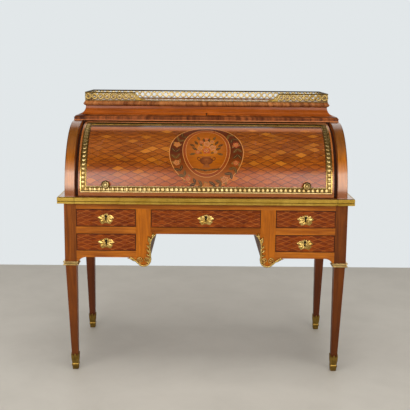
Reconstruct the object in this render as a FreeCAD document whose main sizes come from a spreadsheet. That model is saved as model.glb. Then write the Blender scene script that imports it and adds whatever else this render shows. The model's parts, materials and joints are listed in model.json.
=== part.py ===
import FreeCAD, Part
import math
import os
from types import SimpleNamespace

import Sketcher
from FreeCAD import Placement, Rotation, Vector

# Cylinder desk with five drawers, a pull-out writing slide and a pierced gallery, in millimetres.
# Frame: +X to the sitter's right hand, +Y to the back, +Z up, origin under the middle of the desk.

DRIVING_SIZES = {
    # whole desk
    "desk_width": 1240.0,
    "desk_depth": 648.0,
    "table_height": 767.0,
    # table and its brass edge
    "table_thick": 28.0,
    "edge_front": 20.0,
    "edge_side": 25.0,
    "brass_depth": 8.0,
    "edge_bead": 9.0,
    "edge_groove": 2.0,
    "edge_round": 2.0,
    # legs, sabots and collars
    "leg_square": 50.0,
    "leg_taper_top": 46.0,
    "foot_square": 25.0,
    "foot_in_x": 8.5,
    "foot_in_y": 4.5,
    "sabot_height": 74.0,
    "sabot_sole": 14.0,
    "sabot_cup": 34.0,
    "sabot_waist": 30.0,
    "sabot_ring": 36.0,
    "sabot_toe": 26.0,
    "sabot_ring_height": 26.0,
    "sabot_ring_band": 6.0,
    "collar_height": 17.0,
    "collar_proud": 6.0,
    "collar_bead": 5.5,
    "collar_drop": 18.0,
    # front frame and carcass boards
    "frame_thick": 22.0,
    "panel_thick": 16.0,
    "panel_inset": 4.0,
    "back_thick": 12.0,
    "back_inset": 6.0,
    "rear_inset": 6.0,
    "dust_thick": 12.0,
    "top_rail": 25.0,
    "drawer_height": 75.0,
    "mid_rail": 30.0,
    "low_drawer_height": 74.0,
    "bottom_rail": 28.0,
    "centre_drawer_height": 77.0,
    "bearer_width": 30.0,
    # kneehole, its stiles and tongues
    "kneehole_width": 474.0,
    "stile_lip": 6.0,
    "stile_width": 63.0,
    "corner_reach": 26.0,
    "corner_drop": 53.0,
    "tongue_drop": 35.0,
    "tongue_radius": 28.0,
    "tongue_set": 3.0,
    "ogee_reach": 26.0,
    "bracket_reach": 34.0,
    "bracket_step": 7.0,
    "kneehole_panel_drop": 13.0,
    "scroll_band": 7.0,
    "scroll_lap": 3.0,
    "scroll_proud": 6.0,
    "scroll_eye": 11.0,
    # drawers
    "drawer_gap": 1.0,
    "running_gap": 0.3,
    "front_thick": 20.0,
    "box_depth": 440.0,
    "box_wall": 10.0,
    "box_floor": 7.0,
    "box_headroom": 8.0,
    "lock_width": 60.0,
    "lock_height": 40.0,
    "lock_thick": 11.0,
    "key_head": 3.0,
    "key_slot": 3.3,
    "escutcheon_width": 70.0,
    "escutcheon_height": 46.0,
    "escutcheon_thick": 3.0,
    "keyhole_rise_plate": 4.0,
    "keyhole_slot": 9.0,
    "escutcheon_drop": 4.0,
    # cylinder fall
    "axis_rise": 13.0,
    "cheek_radius": 284.0,
    "cheek_front": 1.0,
    "cheek_thick": 42.0,
    "cheek_inset": 4.0,
    "reveal_width": 13.2,
    "reveal_depth": 22.0,
    "shell_sink": 7.0,
    "shell_thick": 18.0,
    "shell_gap": 0.8,
    "shell_start_angle": -2.2,
    "shell_end_angle": 97.0,
    "border_start_angle": 0.9,
    "border_end_angle": 82.0,
    "border_end_gap": 12.0,
    "border_width": 20.0,
    "border_proud": 4.5,
    "fall_knob_inset": 116.0,
    "fall_knob_angle": 7.6,
    "fall_knob_radius": 15.0,
    "fall_knob_reach": 27.0,
    "arm_thick": 12.0,
    "arm_inset": 2.0,
    "arm_rim": 12.0,
    "arm_spoke": 22.0,
    "arm_low_angle": 14.0,
    "arm_high_angle": 76.0,
    "hub_radius": 11.4,
    "pin_radius": 5.0,
    "pin_clearance": 0.05,
    "pin_seat": 26.0,
    # writing slide
    "slide_gap": 0.5,
    "table_rear_board": 96.0,
    "slide_clear": 2.0,
    "tongue_width": 8.0,
    "tongue_share": 0.515,
    "travel_share": 0.445,
    "tongue_rise": 10.0,
    "tongue_gap": 0.3,
    "leather_margin_side": 56.0,
    "leather_margin_front": 40.0,
    "leather_margin_back": 30.0,
    "leather_thick": 1.8,
    # cornice, top and gallery
    "cornice_set": 13.0,
    "cornice_out": 1.0,
    "upper_back_inset": 4.0,
    "lower_mould": 20.0,
    "cavetto": 41.0,
    "cavetto_step": 7.0,
    "upper_mould": 22.0,
    "upper_mould_reach": 10.0,
    "cornice_wall": 18.0,
    "top_thick": 18.0,
    "keyhole_rise": 32.0,
    "gallery_height": 40.0,
    "gallery_thick": 3.0,
    "gallery_set": 1.0,
    "gallery_rail": 4.5,
    "gallery_rail_thick": 5.0,
    "gallery_pitch": 28.0,
    "gallery_hole": 9.5,
    "gallery_return": 232.0,
    "gallery_sweep": 42.0,
    "gallery_tail": 9.0,
    # nest of pigeonholes
    "nest_side_gap": 30.8,
    "nest_ahead": 3.0,
    "nest_depth": 160.0,
    "nest_height": 176.0,
    "nest_board": 10.0,
    "nest_divider": 8.0,
    "nest_base": 12.0,
    "nest_wing_back": 44.0,
    "nest_drawer_share": 0.6465,
    "nest_drawer_height": 72.0,
    "inner_front_thick": 10.0,
    "inner_box_wall": 6.0,
    "inner_headroom": 4.0,
    "inner_knob_radius": 7.0,
    "inner_knob_reach": 14.0,
}
NEST_COLUMNS = 5
# A strip counts as pierced when no more than this share of its metal is left.
PIERCED_SHARE = 0.95
# Half outlines of the turned knobs, as shares of radius and reach.
FALL_KNOB_PROFILE = ((0.0, 0.0), (0.55, 0.0), (0.42, 0.38), (1.0, 0.6), (1.0, 0.76), (0.6, 0.96), (0.0, 1.0))
INNER_KNOB_PROFILE = ((0.0, 0.0), (0.5, 0.0), (0.45, 0.45), (1.0, 0.7), (0.7, 1.0), (0.0, 1.0))
# Right half of the escutcheon from crest to foot, in half widths and half heights.
ESCUTCHEON_HALF = (
    (0.0, 1.0), (0.14, 0.97), (0.25, 0.84), (0.36, 0.72), (0.5, 0.76), (0.66, 0.7), (0.74, 0.54),
    (0.84, 0.34), (1.0, 0.13), (0.82, 0.02), (0.68, -0.18), (0.78, -0.34), (0.76, -0.54), (0.62, -0.66),
    (0.6, -0.84), (0.44, -0.95), (0.3, -0.88), (0.16, -0.78), (0.0, -0.78),
)
EIGHTH_TURN = 45.0

doc = FreeCAD.newDocument("cylinder_desk")
sheet = doc.addObject("Spreadsheet::Sheet", "Sizes")
for row, (alias, number) in enumerate(DRIVING_SIZES.items(), start=1):
    sheet.set(f"A{row}", alias)
    sheet.set(f"B{row}", str(number))
    sheet.setAlias(f"B{row}", alias)
doc.recompute()


class Size:
    # A number together with the sheet expression that gives it.
    def __init__(self, value, text):
        self.value = float(value)
        self.text = text

    def join(self, sign, other, value, swapped=False):
        left, right = self.text, other.text
        if swapped:
            left, right = right, left
        return Size(value, f"({left} {sign} {right})")

    def __add__(self, other):
        other = as_size(other)
        return self.join("+", other, self.value + other.value)

    __radd__ = __add__

    def __sub__(self, other):
        other = as_size(other)
        return self.join("-", other, self.value - other.value)

    def __rsub__(self, other):
        other = as_size(other)
        return self.join("-", other, other.value - self.value, swapped=True)

    def __mul__(self, other):
        other = as_size(other)
        return self.join("*", other, self.value * other.value)

    __rmul__ = __mul__

    def __truediv__(self, other):
        other = as_size(other)
        return self.join("/", other, self.value / other.value)

    def __neg__(self):
        return Size(-self.value, f"(-1 * {self.text})")


def as_size(number):
    if isinstance(number, Size):
        return number
    return Size(number, repr(float(number)))


def cosine(angle):
    angle = as_size(angle)
    return Size(math.cos(math.radians(angle.value)), f"cos({angle.text} * 1 deg)")


def sine(angle):
    angle = as_size(angle)
    return Size(math.sin(math.radians(angle.value)), f"sin({angle.text} * 1 deg)")


d = SimpleNamespace(**{alias: Size(sheet.get(alias), f"Sizes.{alias}") for alias in DRIVING_SIZES})
nodes = []


def keep(piece, label):
    # The piece becomes a node of the part under this label.
    piece.Label = label
    nodes.append(piece)
    return piece


def bind(piece, path, size):
    piece.setExpression(path, as_size(size).text)


def place(piece, x=0.0, y=0.0, z=0.0):
    x, y, z = as_size(x), as_size(y), as_size(z)
    piece.Placement = Placement(Vector(x.value, y.value, z.value), piece.Placement.Rotation)
    for axis, size in zip("xyz", (x, y, z)):
        bind(piece, f"Placement.Base.{axis}", size)


def box(name, x, y, z):
    # A board between two limits on each axis.
    piece = doc.addObject("Part::Box", name)
    for path, (low, high) in zip(("Length", "Width", "Height"), (x, y, z)):
        bind(piece, path, as_size(high) - low)
    place(piece, x[0], y[0], z[0])
    return piece


def both_sides(limits):
    # The same limits on the other side of the desk's middle plane.
    return (-as_size(limits[1]), -as_size(limits[0]))


def rod(name, radius, start, end, y, z, along="X"):
    # A round bar along X or Y between two limits.
    piece = doc.addObject("Part::Cylinder", name)
    bind(piece, "Radius", radius)
    bind(piece, "Height", as_size(end) - start)
    if along == "X":
        piece.Placement = Placement(Vector(), Rotation(Vector(0, 1, 0), 90))
        place(piece, start, y, z)
    else:
        piece.Placement = Placement(Vector(), Rotation(Vector(1, 0, 0), -90))
        place(piece, y, start, z)
    return piece


def taper(name, low_z, high_z, low_square, high_square, low_centre, high_centre):
    # A square bar that changes width and leans between two heights.
    piece = doc.addObject("Part::Wedge", name)
    piece.Placement = Placement(Vector(), Rotation(Vector(1, 0, 0), 90))
    limits = {"Ymin": low_z, "Ymax": high_z}
    for end, square, centre in (("", low_square, low_centre), ("2", high_square, high_centre)):
        half = as_size(square) / 2
        limits[f"X{end}min"] = as_size(centre[0]) - half
        limits[f"X{end}max"] = as_size(centre[0]) + half
        limits[f"Z{end}min"] = -as_size(centre[1]) - half
        limits[f"Z{end}max"] = -as_size(centre[1]) + half
    for path, size in limits.items():
        setattr(piece, path, as_size(size).value)
    for path, size in limits.items():
        bind(piece, path, size)
    return piece


def fuse(name, pieces):
    piece = doc.addObject("Part::MultiFuse", name)
    piece.Shapes = pieces
    return piece


def cut(name, base, tools):
    if len(tools) > 1:
        tool = fuse(f"{name}_tools", tools)
    else:
        tool = tools[0]
    piece = doc.addObject("Part::Cut", name)
    piece.Base = base
    piece.Tool = tool
    return piece


def common(name, first, second):
    piece = doc.addObject("Part::Common", name)
    piece.Base = first
    piece.Tool = second
    return piece


def group(name, pieces):
    # Separate solids that share a node.
    piece = doc.addObject("Part::Compound", name)
    piece.Links = pieces
    return piece


def mirror(name, source, normal=(1, 0, 0), y=0.0):
    piece = doc.addObject("Part::Mirroring", name)
    piece.Source = source
    piece.Normal = Vector(*normal)
    bind(piece, "Base.y", y)
    return piece


def pair(label, right):
    return keep(group(f"{label}_pair", [right, mirror(f"{label}_mirror", right)]), label)


def arc_centre(start, end, radius, turn):
    # Middle of the smaller arc between two points; turn is 1 to the left and -1 to the right.
    chord = end - start
    half = chord.Length / 2
    rise = math.sqrt(max(radius * radius - half * half, 0.0))
    left = Vector(-chord.y, chord.x, 0).normalize()
    return start + chord * 0.5 + left * (rise * turn)


def draw(sketch, outline):
    # Outline corners are (u, v) or (u, v, radius, turn), where the radius is that of the edge to the next.
    corners = [(as_size(corner[0]), as_size(corner[1])) for corner in outline]
    spots = [Vector(u.value, v.value, 0) for u, v in corners]
    first = len(sketch.Geometry)
    edges = []
    for index, corner in enumerate(outline):
        start = spots[index]
        end = spots[(index + 1) % len(spots)]
        if len(corner) == 2:
            sketch.addGeometry(Part.LineSegment(start, end))
            edges.append((1, 2, None))
            continue
        radius, turn = as_size(corner[2]), corner[3]
        centre = arc_centre(start, end, radius.value, turn)
        circle = Part.Circle(centre, Vector(0, 0, 1), radius.value)
        tail, head = (start, end) if turn > 0 else (end, start)
        angles = [math.atan2(spot.y - centre.y, spot.x - centre.x) for spot in (tail, head)]
        sketch.addGeometry(Part.ArcOfCircle(circle, angles[0], angles[1]))
        edges.append((1, 2, radius) if turn > 0 else (2, 1, radius))
    for index, (start_end, finish_end, radius) in enumerate(edges):
        after = (index + 1) % len(edges)
        sketch.addConstraint(Sketcher.Constraint(
            "Coincident", first + index, finish_end, first + after, edges[after][0]))
    for index, (start_end, finish_end, radius) in enumerate(edges):
        for kind, size in zip(("DistanceX", "DistanceY"), corners[index]):
            number = sketch.addConstraint(Sketcher.Constraint(
                kind, -1, 1, first + index, start_end, size.value))
            bind(sketch, f"Constraints[{number}]", size)
        if radius is not None:
            number = sketch.addConstraint(Sketcher.Constraint("Radius", first + index, radius.value))
            bind(sketch, f"Constraints[{number}]", radius)


def octagon(u, v, radius):
    # Corners of an eight-sided opening with flat top and sides.
    angles = [EIGHTH_TURN * (side + 0.5) for side in range(8)]
    return [(u + radius * cosine(angle), v + radius * sine(angle)) for angle in angles]


def new_sketch(body, plane, name):
    support = [item for item in body.Origin.OriginFeatures if item.Role == plane][0]
    sketch = body.newObject("Sketcher::SketchObject", name)
    sketch.AttachmentSupport = [(support, "")]
    sketch.MapMode = "FlatFace"
    return sketch


def padded(name, plane, outline, thick, at=0.0, holes=(), backwards=False):
    # A board of one outline. XZ boards grow to the front unless backwards, YZ boards to the right.
    body = doc.addObject("PartDesign::Body", name)
    sketch = new_sketch(body, plane, f"{name}_outline")
    draw(sketch, outline)
    for hole in holes:
        draw(sketch, hole)
    pad = body.newObject("PartDesign::Pad", f"{name}_pad")
    pad.Profile = sketch
    pad.Reversed = backwards
    bind(pad, "Length", thick)
    if plane == "XZ_Plane":
        place(body, y=at)
    elif plane == "YZ_Plane":
        place(body, x=at)
    else:
        place(body, z=at)
    return body


def turned(name, outline):
    # A round piece standing on the XY plane, its half outline as radius and height.
    body = doc.addObject("PartDesign::Body", name)
    sketch = new_sketch(body, "XZ_Plane", f"{name}_outline")
    draw(sketch, outline)
    spin = body.newObject("PartDesign::Revolution", f"{name}_spin")
    spin.Profile = sketch
    spin.ReferenceAxis = (sketch, ["V_Axis"])
    spin.Angle = 360.0
    return body


def moulded_block(name, profile, half_width, front, back, base):
    # A slab whose moulding runs along the front and both sides with mitred corners.
    # The profile's corners are (set back, height, ...) from the bottom up.
    right, left, ahead = [], [], []
    for corner in profile:
        bend = tuple(corner[2:])
        set_back, rise = as_size(corner[0]), base + corner[1]
        ahead.append((front + set_back, rise) + bend)
        right.append((half_width - set_back, rise) + (bend[:1] + (-bend[1],) if bend else ()))
    for index in range(len(profile) - 1, -1, -1):
        bend = tuple(profile[index - 1][2:]) if index > 0 else ()
        set_back, rise = as_size(profile[index][0]), base + profile[index][1]
        left.append((set_back - half_width, rise) + (bend[:1] + (-bend[1],) if bend else ()))
    top = base + profile[-1][1]
    ahead += [(back, top), (back, base)]
    front_run = padded(f"{name}_front_run", "YZ_Plane", ahead, 2 * half_width, -half_width)
    side_run = padded(f"{name}_side_run", "XZ_Plane", right + left, back - front, front, backwards=True)
    return common(name, front_run, side_run)


# Places across the desk.
half_width = d.desk_width / 2
body_x = half_width - d.edge_side
leg_in_x = body_x - d.leg_square
kneehole_x = d.kneehole_width / 2
stile_in = kneehole_x - d.stile_lip
stile_out = stile_in + d.stile_width
cheek_out = body_x - d.cheek_inset
cheek_in = cheek_out - d.cheek_thick
reveal_in = cheek_in - d.reveal_width
shell_x = reveal_in - d.shell_gap
slide_x = cheek_in - d.slide_gap

# Places from front to back.
front_y = -d.desk_depth / 2
back_y = d.desk_depth / 2
face_y = front_y + d.edge_front
frame_back = face_y + d.frame_thick
leg_front_in = face_y + d.leg_square
rear_y = back_y - d.rear_inset
leg_rear_in = rear_y - d.leg_square
back_out = rear_y - d.back_inset
back_in = back_out - d.back_thick
mirror_y = (face_y + rear_y) / 2
board_y = front_y + d.brass_depth
upper_back_y = back_y - d.upper_back_inset
axis_y = face_y - d.cheek_front + d.cheek_radius

# Heights.
table_z = d.table_height
frieze_z = table_z - d.table_thick
open_top = frieze_z - d.top_rail
mid_top = open_top - d.drawer_height
mid_low = mid_top - d.mid_rail
low_floor = mid_low - d.low_drawer_height
pedestal_z = low_floor - d.bottom_rail
centre_floor = open_top - d.centre_drawer_height
collar_top = pedestal_z - d.collar_drop
collar_low = collar_top - d.collar_height
axis_z = table_z + d.axis_rise
cornice_z = axis_z + d.cheek_radius
top_z = cornice_z + d.lower_mould + d.cavetto + d.upper_mould

# Radii about the cylinder's axis.
shell_out = d.cheek_radius - d.shell_sink
shell_in = shell_out - d.shell_thick


def on_arc(radius, angle):
    # A point of the side view, turned up from the front about the cylinder's axis.
    return (axis_y - radius * cosine(angle), axis_z + radius * sine(angle))


def sector(name, inner, outer, start, end, half_length):
    # A curved board about the cylinder's axis.
    outline = [
        on_arc(outer, start) + (outer, -1),
        on_arc(outer, end),
        on_arc(inner, end) + (inner, 1),
        on_arc(inner, start),
    ]
    return padded(name, "YZ_Plane", outline, 2 * half_length, -half_length)


def make_legs():
    leg_centre = (leg_in_x + d.leg_square / 2, face_y + d.leg_square / 2)
    foot_centre = (leg_centre[0] - d.foot_in_x, leg_centre[1] + d.foot_in_y)
    block = box("leg_block", (leg_in_x, body_x), (face_y, leg_front_in), (collar_low, frieze_z))
    shank = taper(
        "leg_shank", d.sabot_sole, collar_low, d.foot_square, d.leg_taper_top, foot_centre, leg_centre)
    front_right = keep(fuse("leg_front_right_fuse", [block, shank]), "leg_front_right")
    keep(mirror("leg_front_left_copy", front_right), "leg_front_left")
    rear_right = keep(
        mirror("leg_rear_right_copy", front_right, (0, 1, 0), mirror_y), "leg_rear_right")
    keep(mirror("leg_rear_left_copy", rear_right), "leg_rear_left")
    make_sabots(shank, foot_centre)
    make_collars()


def four_corners(label, source):
    left = mirror(f"{label}_left", source)
    rear = [mirror(f"{label}_rear_{index}", piece, (0, 1, 0), mirror_y)
            for index, piece in enumerate((source, left))]
    return keep(group(f"{label}_set", [source, left] + rear), label)


def make_sabots(shank, foot_centre):
    # A cast shoe: toe, ring, waist and leafy cup, with the leg standing in it.
    ring_low = d.sabot_ring_height - d.sabot_ring_band / 2
    ring_high = d.sabot_ring_height + d.sabot_ring_band / 2
    levels = [
        (as_size(0.0), d.sabot_toe),
        (ring_low / 2, d.sabot_waist + d.sabot_ring_band / 2),
        (ring_low - d.sabot_ring_band / 2, d.sabot_toe),
        (ring_low, d.sabot_ring),
        (ring_high, d.sabot_ring),
        (ring_high + d.sabot_ring_band / 2, d.sabot_waist),
        (d.sabot_height, d.sabot_cup),
    ]
    steps = []
    for index in range(len(levels) - 1):
        low, high = levels[index], levels[index + 1]
        steps.append(taper(
            f"sabot_step_{index}", low[0], high[0], low[1], high[1], foot_centre, foot_centre))
    shoe = cut("sabot_shoe", fuse("sabot_casting", steps), [shank])
    four_corners("sabots", shoe)


def make_collars():
    # A square band of two beads round the leg block.
    outer = d.collar_proud
    neck = d.collar_proud / 2
    bands = []
    for name, reach, low, high in (
        ("low", outer, collar_low, collar_low + d.collar_bead),
        ("neck", neck, collar_low + d.collar_bead, collar_top - d.collar_bead),
        ("high", outer, collar_top - d.collar_bead, collar_top),
    ):
        bands.append(box(
            f"collar_{name}", (leg_in_x - reach, body_x + reach),
            (face_y - reach, leg_front_in + reach), (low, high)))
    seat = box("collar_seat", (leg_in_x, body_x), (face_y, leg_front_in), (collar_low, collar_top))
    four_corners("leg_collars", cut("collar_ring", fuse("collar_bands", bands), [seat]))


def make_front_frame():
    keep(box("top_rail_board", (-leg_in_x, leg_in_x), (face_y, frame_back), (open_top, frieze_z)),
         "front_top_rail")
    pair("mid_rails", box(
        "mid_rail_board", (stile_out, leg_in_x), (face_y, frame_back), (mid_low, mid_top)))
    keep(box("kneehole_rail_board", (-stile_in, stile_in), (face_y, frame_back), (mid_low, centre_floor)),
         "kneehole_rail")

    # Tongue under each kneehole stile, with a straight ogee flank on the bottom rail.
    tongue_x = stile_in + d.tongue_radius + d.tongue_set
    tongue_z = pedestal_z - d.tongue_drop + d.tongue_radius
    slant = sine(EIGHTH_TURN)
    flank_low = (tongue_x + d.tongue_radius * slant, tongue_z - d.tongue_radius * slant)
    flank_high = (stile_out + d.ogee_reach, pedestal_z)
    flank_rise = (flank_high[1] - flank_low[1]) / (flank_high[0] - flank_low[0])
    joint = (stile_out, flank_low[1] + (stile_out - flank_low[0]) * flank_rise)
    corner_radius = (d.corner_reach * d.corner_reach + d.corner_drop * d.corner_drop) / (2 * d.corner_reach)
    corner_x = kneehole_x - d.corner_reach
    stile = [
        (stile_out, open_top),
        (stile_in, open_top),
        (stile_in, mid_low),
        (corner_x, mid_low, corner_radius, -1),
        (kneehole_x, mid_low - d.corner_drop),
        (tongue_x - d.tongue_radius, tongue_z, d.tongue_radius, 1),
        flank_low,
        joint,
    ]
    pair("kneehole_stiles", padded(
        "kneehole_stile_right", "XZ_Plane", stile, d.frame_thick, face_y, backwards=True))

    # Bottom rail with the hollow bracket against the leg.
    bracket_x = leg_in_x - d.bracket_step
    bracket_rise = pedestal_z - collar_top
    bracket_radius = (d.bracket_reach * d.bracket_reach + bracket_rise * bracket_rise) / (2 * bracket_rise)
    rail = [
        (stile_out, low_floor),
        joint,
        flank_high,
        (bracket_x - d.bracket_reach, pedestal_z, bracket_radius, -1),
        (bracket_x, collar_top),
        (leg_in_x, collar_top),
        (leg_in_x, low_floor),
    ]
    pair("bottom_rails", padded(
        "bottom_rail_right", "XZ_Plane", rail, d.frame_thick, face_y, backwards=True))
    make_scroll_mounts(
        (tongue_x, tongue_z), flank_low, flank_high, (corner_x, corner_radius))


def make_scroll_mounts(tongue, flank_low, flank_high, corner):
    # A gilt band that follows the tongue and the kneehole edge, with a round eye on the tongue.
    lap, band = d.scroll_lap, d.scroll_band
    corner_x, corner_radius = corner
    tongue_x, tongue_z = tongue
    outer_radius = d.tongue_radius + lap
    inner_radius = d.tongue_radius - band
    slant = sine(EIGHTH_TURN)
    corner_low = mid_low - d.corner_drop
    outline = [
        (flank_high[0], flank_high[1] - lap),
        (flank_high[0], flank_high[1] + band),
        (tongue_x + inner_radius * slant, tongue_z - inner_radius * slant, inner_radius, -1),
        (tongue_x - inner_radius, tongue_z),
        (kneehole_x + band, corner_low, corner_radius + band, 1),
        (corner_x + band, mid_low),
        (corner_x - lap, mid_low, corner_radius - lap, -1),
        (kneehole_x - lap, corner_low),
        (tongue_x - outer_radius, tongue_z, outer_radius, 1),
        (tongue_x + outer_radius * slant, tongue_z - outer_radius * slant),
    ]
    band_piece = padded("scroll_band_right", "XZ_Plane", outline, d.scroll_proud, face_y)
    eye = rod("scroll_eye_right", d.scroll_eye, face_y - d.scroll_proud, face_y, tongue_x, tongue_z, "Y")
    web = box(
        "scroll_web_right", (tongue_x - band / 2, tongue_x + band / 2),
        (face_y - d.scroll_proud, face_y), (tongue_z - d.tongue_radius, tongue_z))
    pair("scroll_mounts", fuse("scroll_mount_right", [band_piece, eye, web]))


def make_carcass_boards():
    side = (body_x - d.panel_inset - d.panel_thick, body_x - d.panel_inset)
    depth = (leg_front_in, leg_rear_in)
    height = (pedestal_z, frieze_z)
    keep(box("side_board_right", side, depth, height), "side_panel_right")
    keep(box("side_board_left", both_sides(side), depth, height), "side_panel_left")

    # Lower back with the kneehole cut out of it.
    back = [
        (-leg_in_x, pedestal_z),
        (-kneehole_x, pedestal_z),
        (-kneehole_x, mid_low),
        (kneehole_x, mid_low),
        (kneehole_x, pedestal_z),
        (leg_in_x, pedestal_z),
        (leg_in_x, frieze_z),
        (-leg_in_x, frieze_z),
    ]
    keep(padded("back_board", "XZ_Plane", back, d.back_thick, back_in, backwards=True), "back_panel")

    panel_out = kneehole_x + d.panel_thick
    inside = (frame_back, back_in)
    pair("kneehole_panels", box(
        "kneehole_board_right", (kneehole_x, panel_out), inside,
        (pedestal_z - d.kneehole_panel_drop, open_top)))

    # Dust boards carry the drawers, bearers over them carry the writing slide.
    bay = (panel_out, side[0])
    between_legs = (leg_front_in, leg_rear_in)
    centre = box(
        "dust_centre", (-kneehole_x, kneehole_x), inside, (centre_floor - d.dust_thick, centre_floor))
    boards = [centre]
    for name, top in (("upper", mid_top), ("lower", low_floor)):
        wide = box(f"dust_{name}_wide", bay, between_legs, (top - d.dust_thick, top))
        ends = [
            box(f"dust_{name}_{end}", (panel_out, leg_in_x), limits, (top - d.dust_thick, top))
            for end, limits in (("front", (frame_back, leg_front_in)), ("rear", (leg_rear_in, back_in)))
        ]
        right = fuse(f"dust_{name}_right", [wide] + ends)
        boards += [right, mirror(f"dust_{name}_left", right)]
    keep(group("dust_board_set", boards), "dust_boards")

    bearers = []
    for name, limits, run in (
        ("outer", (side[0] - d.bearer_width, side[0]), between_legs),
        ("inner", (kneehole_x, kneehole_x + d.bearer_width), inside),
    ):
        right = box(f"bearer_{name}_right", limits, run, (open_top, frieze_z))
        bearers += [right, mirror(f"bearer_{name}_left", right)]
    keep(group("bearer_set", bearers), "slide_bearers")


def make_table():
    # Brass edge: a bead below, a fine groove and a flat band above, mitred at the front corners.
    profile = [
        (0.0, 0.0),
        (0.0, d.edge_bead),
        (d.edge_groove, d.edge_bead + d.edge_groove / 2),
        (0.0, d.edge_bead + d.edge_groove),
        (0.0, d.table_thick - d.edge_round),
        (d.edge_round, d.table_thick),
    ]
    slab = moulded_block("edge_slab", profile, half_width, front_y, back_y, frieze_z)
    core_x = half_width - d.brass_depth
    core = box("edge_core", (-core_x, core_x), (board_y, back_y), (frieze_z, table_z))
    rim = cut("edge_rim", slab, [core])
    slide_span = box("edge_slide_span", (-slide_x, slide_x), (front_y, board_y), (frieze_z, table_z))
    fixed_gap = box("edge_fixed_gap", (-cheek_in, cheek_in), (front_y, board_y), (frieze_z, table_z))
    keep(cut("table_edge_cut", rim, [fixed_gap]), "table_edge")
    edge = common("slide_edge_cut", rim, slide_span)

    # Fixed boards under the cheeks, grooved for the slide's tongues, and the rear board.
    slide_back = back_y - d.table_rear_board - d.slide_clear
    slide_run = slide_back - board_y
    tongue_front = slide_back - slide_run * d.tongue_share
    tongue_z = frieze_z + d.tongue_rise
    groove_out = slide_x + d.tongue_width + d.tongue_gap
    groove = box(
        "table_groove", (cheek_in, groove_out),
        (tongue_front - slide_run * d.travel_share - d.tongue_gap, slide_back + d.tongue_gap),
        (tongue_z - d.tongue_gap, tongue_z + d.tongue_width + d.tongue_gap))
    side_board = box("table_side_board", (cheek_in, core_x), (board_y, back_y), (frieze_z, table_z))
    right = cut("table_side_right", side_board, [groove])
    rear = box(
        "table_rear", (-cheek_in, cheek_in), (slide_back + d.slide_clear, back_y), (frieze_z, table_z))
    keep(group("table_frame_set", [right, mirror("table_side_left", right), rear]), "table_frame")

    # Writing slide: board, leather and its part of the brass edge.
    low = frieze_z + d.running_gap
    high = table_z - d.running_gap
    plank = box("slide_plank", (-slide_x, slide_x), (board_y, slide_back), (low, high))
    tongue = (slide_x, slide_x + d.tongue_width)
    tongues = [
        box(f"slide_tongue_{side}", limits, (tongue_front, slide_back), (tongue_z, tongue_z + d.tongue_width))
        for side, limits in (("right", tongue), ("left", both_sides(tongue)))
    ]
    leather_x = slide_x - d.leather_margin_side
    leather_y = (board_y + d.leather_margin_front, slide_back - d.leather_margin_back)
    recess = box("slide_recess", (-leather_x, leather_x), leather_y, (high - d.leather_thick, high))
    keep(cut("slide_board_cut", fuse("slide_board_fuse", [plank] + tongues), [recess]), "slide_board")
    keep(box("slide_leather_sheet", (-leather_x, leather_x), leather_y, (high - d.leather_thick, high)),
         "slide_leather")
    keep(edge, "slide_edge")


def cheek_outline(radius, low):
    return [
        (axis_y - radius, low),
        (upper_back_y, low),
        (upper_back_y, axis_z + d.cheek_radius),
        (axis_y, axis_z + d.cheek_radius),
        (axis_y, axis_z + radius, radius, 1),
        (axis_y - radius, axis_z),
    ]


def make_cheeks():
    # Round-fronted ends. A step inside each leaves a dark reveal beside the cylinder.
    # The plate's arc reaches the top by itself, so the corner above the axis is left out there.
    plate_outline = cheek_outline(d.cheek_radius, table_z)
    del plate_outline[3]
    plate = padded("cheek_plate", "YZ_Plane", plate_outline, d.cheek_thick, cheek_in)
    step = padded(
        "cheek_step", "YZ_Plane", cheek_outline(d.cheek_radius - d.reveal_depth, table_z + d.slide_clear),
        d.reveal_width, reveal_in)
    seat = rod("cheek_pin_seat", d.pin_radius, reveal_in, cheek_in + d.pin_seat, axis_y, axis_z)
    right = keep(cut("cheek_right_cut", fuse("cheek_right_fuse", [plate, step]), [seat]), "cheek_right")
    keep(mirror("cheek_left_copy", right), "cheek_left")
    keep(box("upper_back_board", (-reveal_in, reveal_in), (upper_back_y - d.back_thick, upper_back_y),
             (table_z, cornice_z)), "upper_back")


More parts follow.
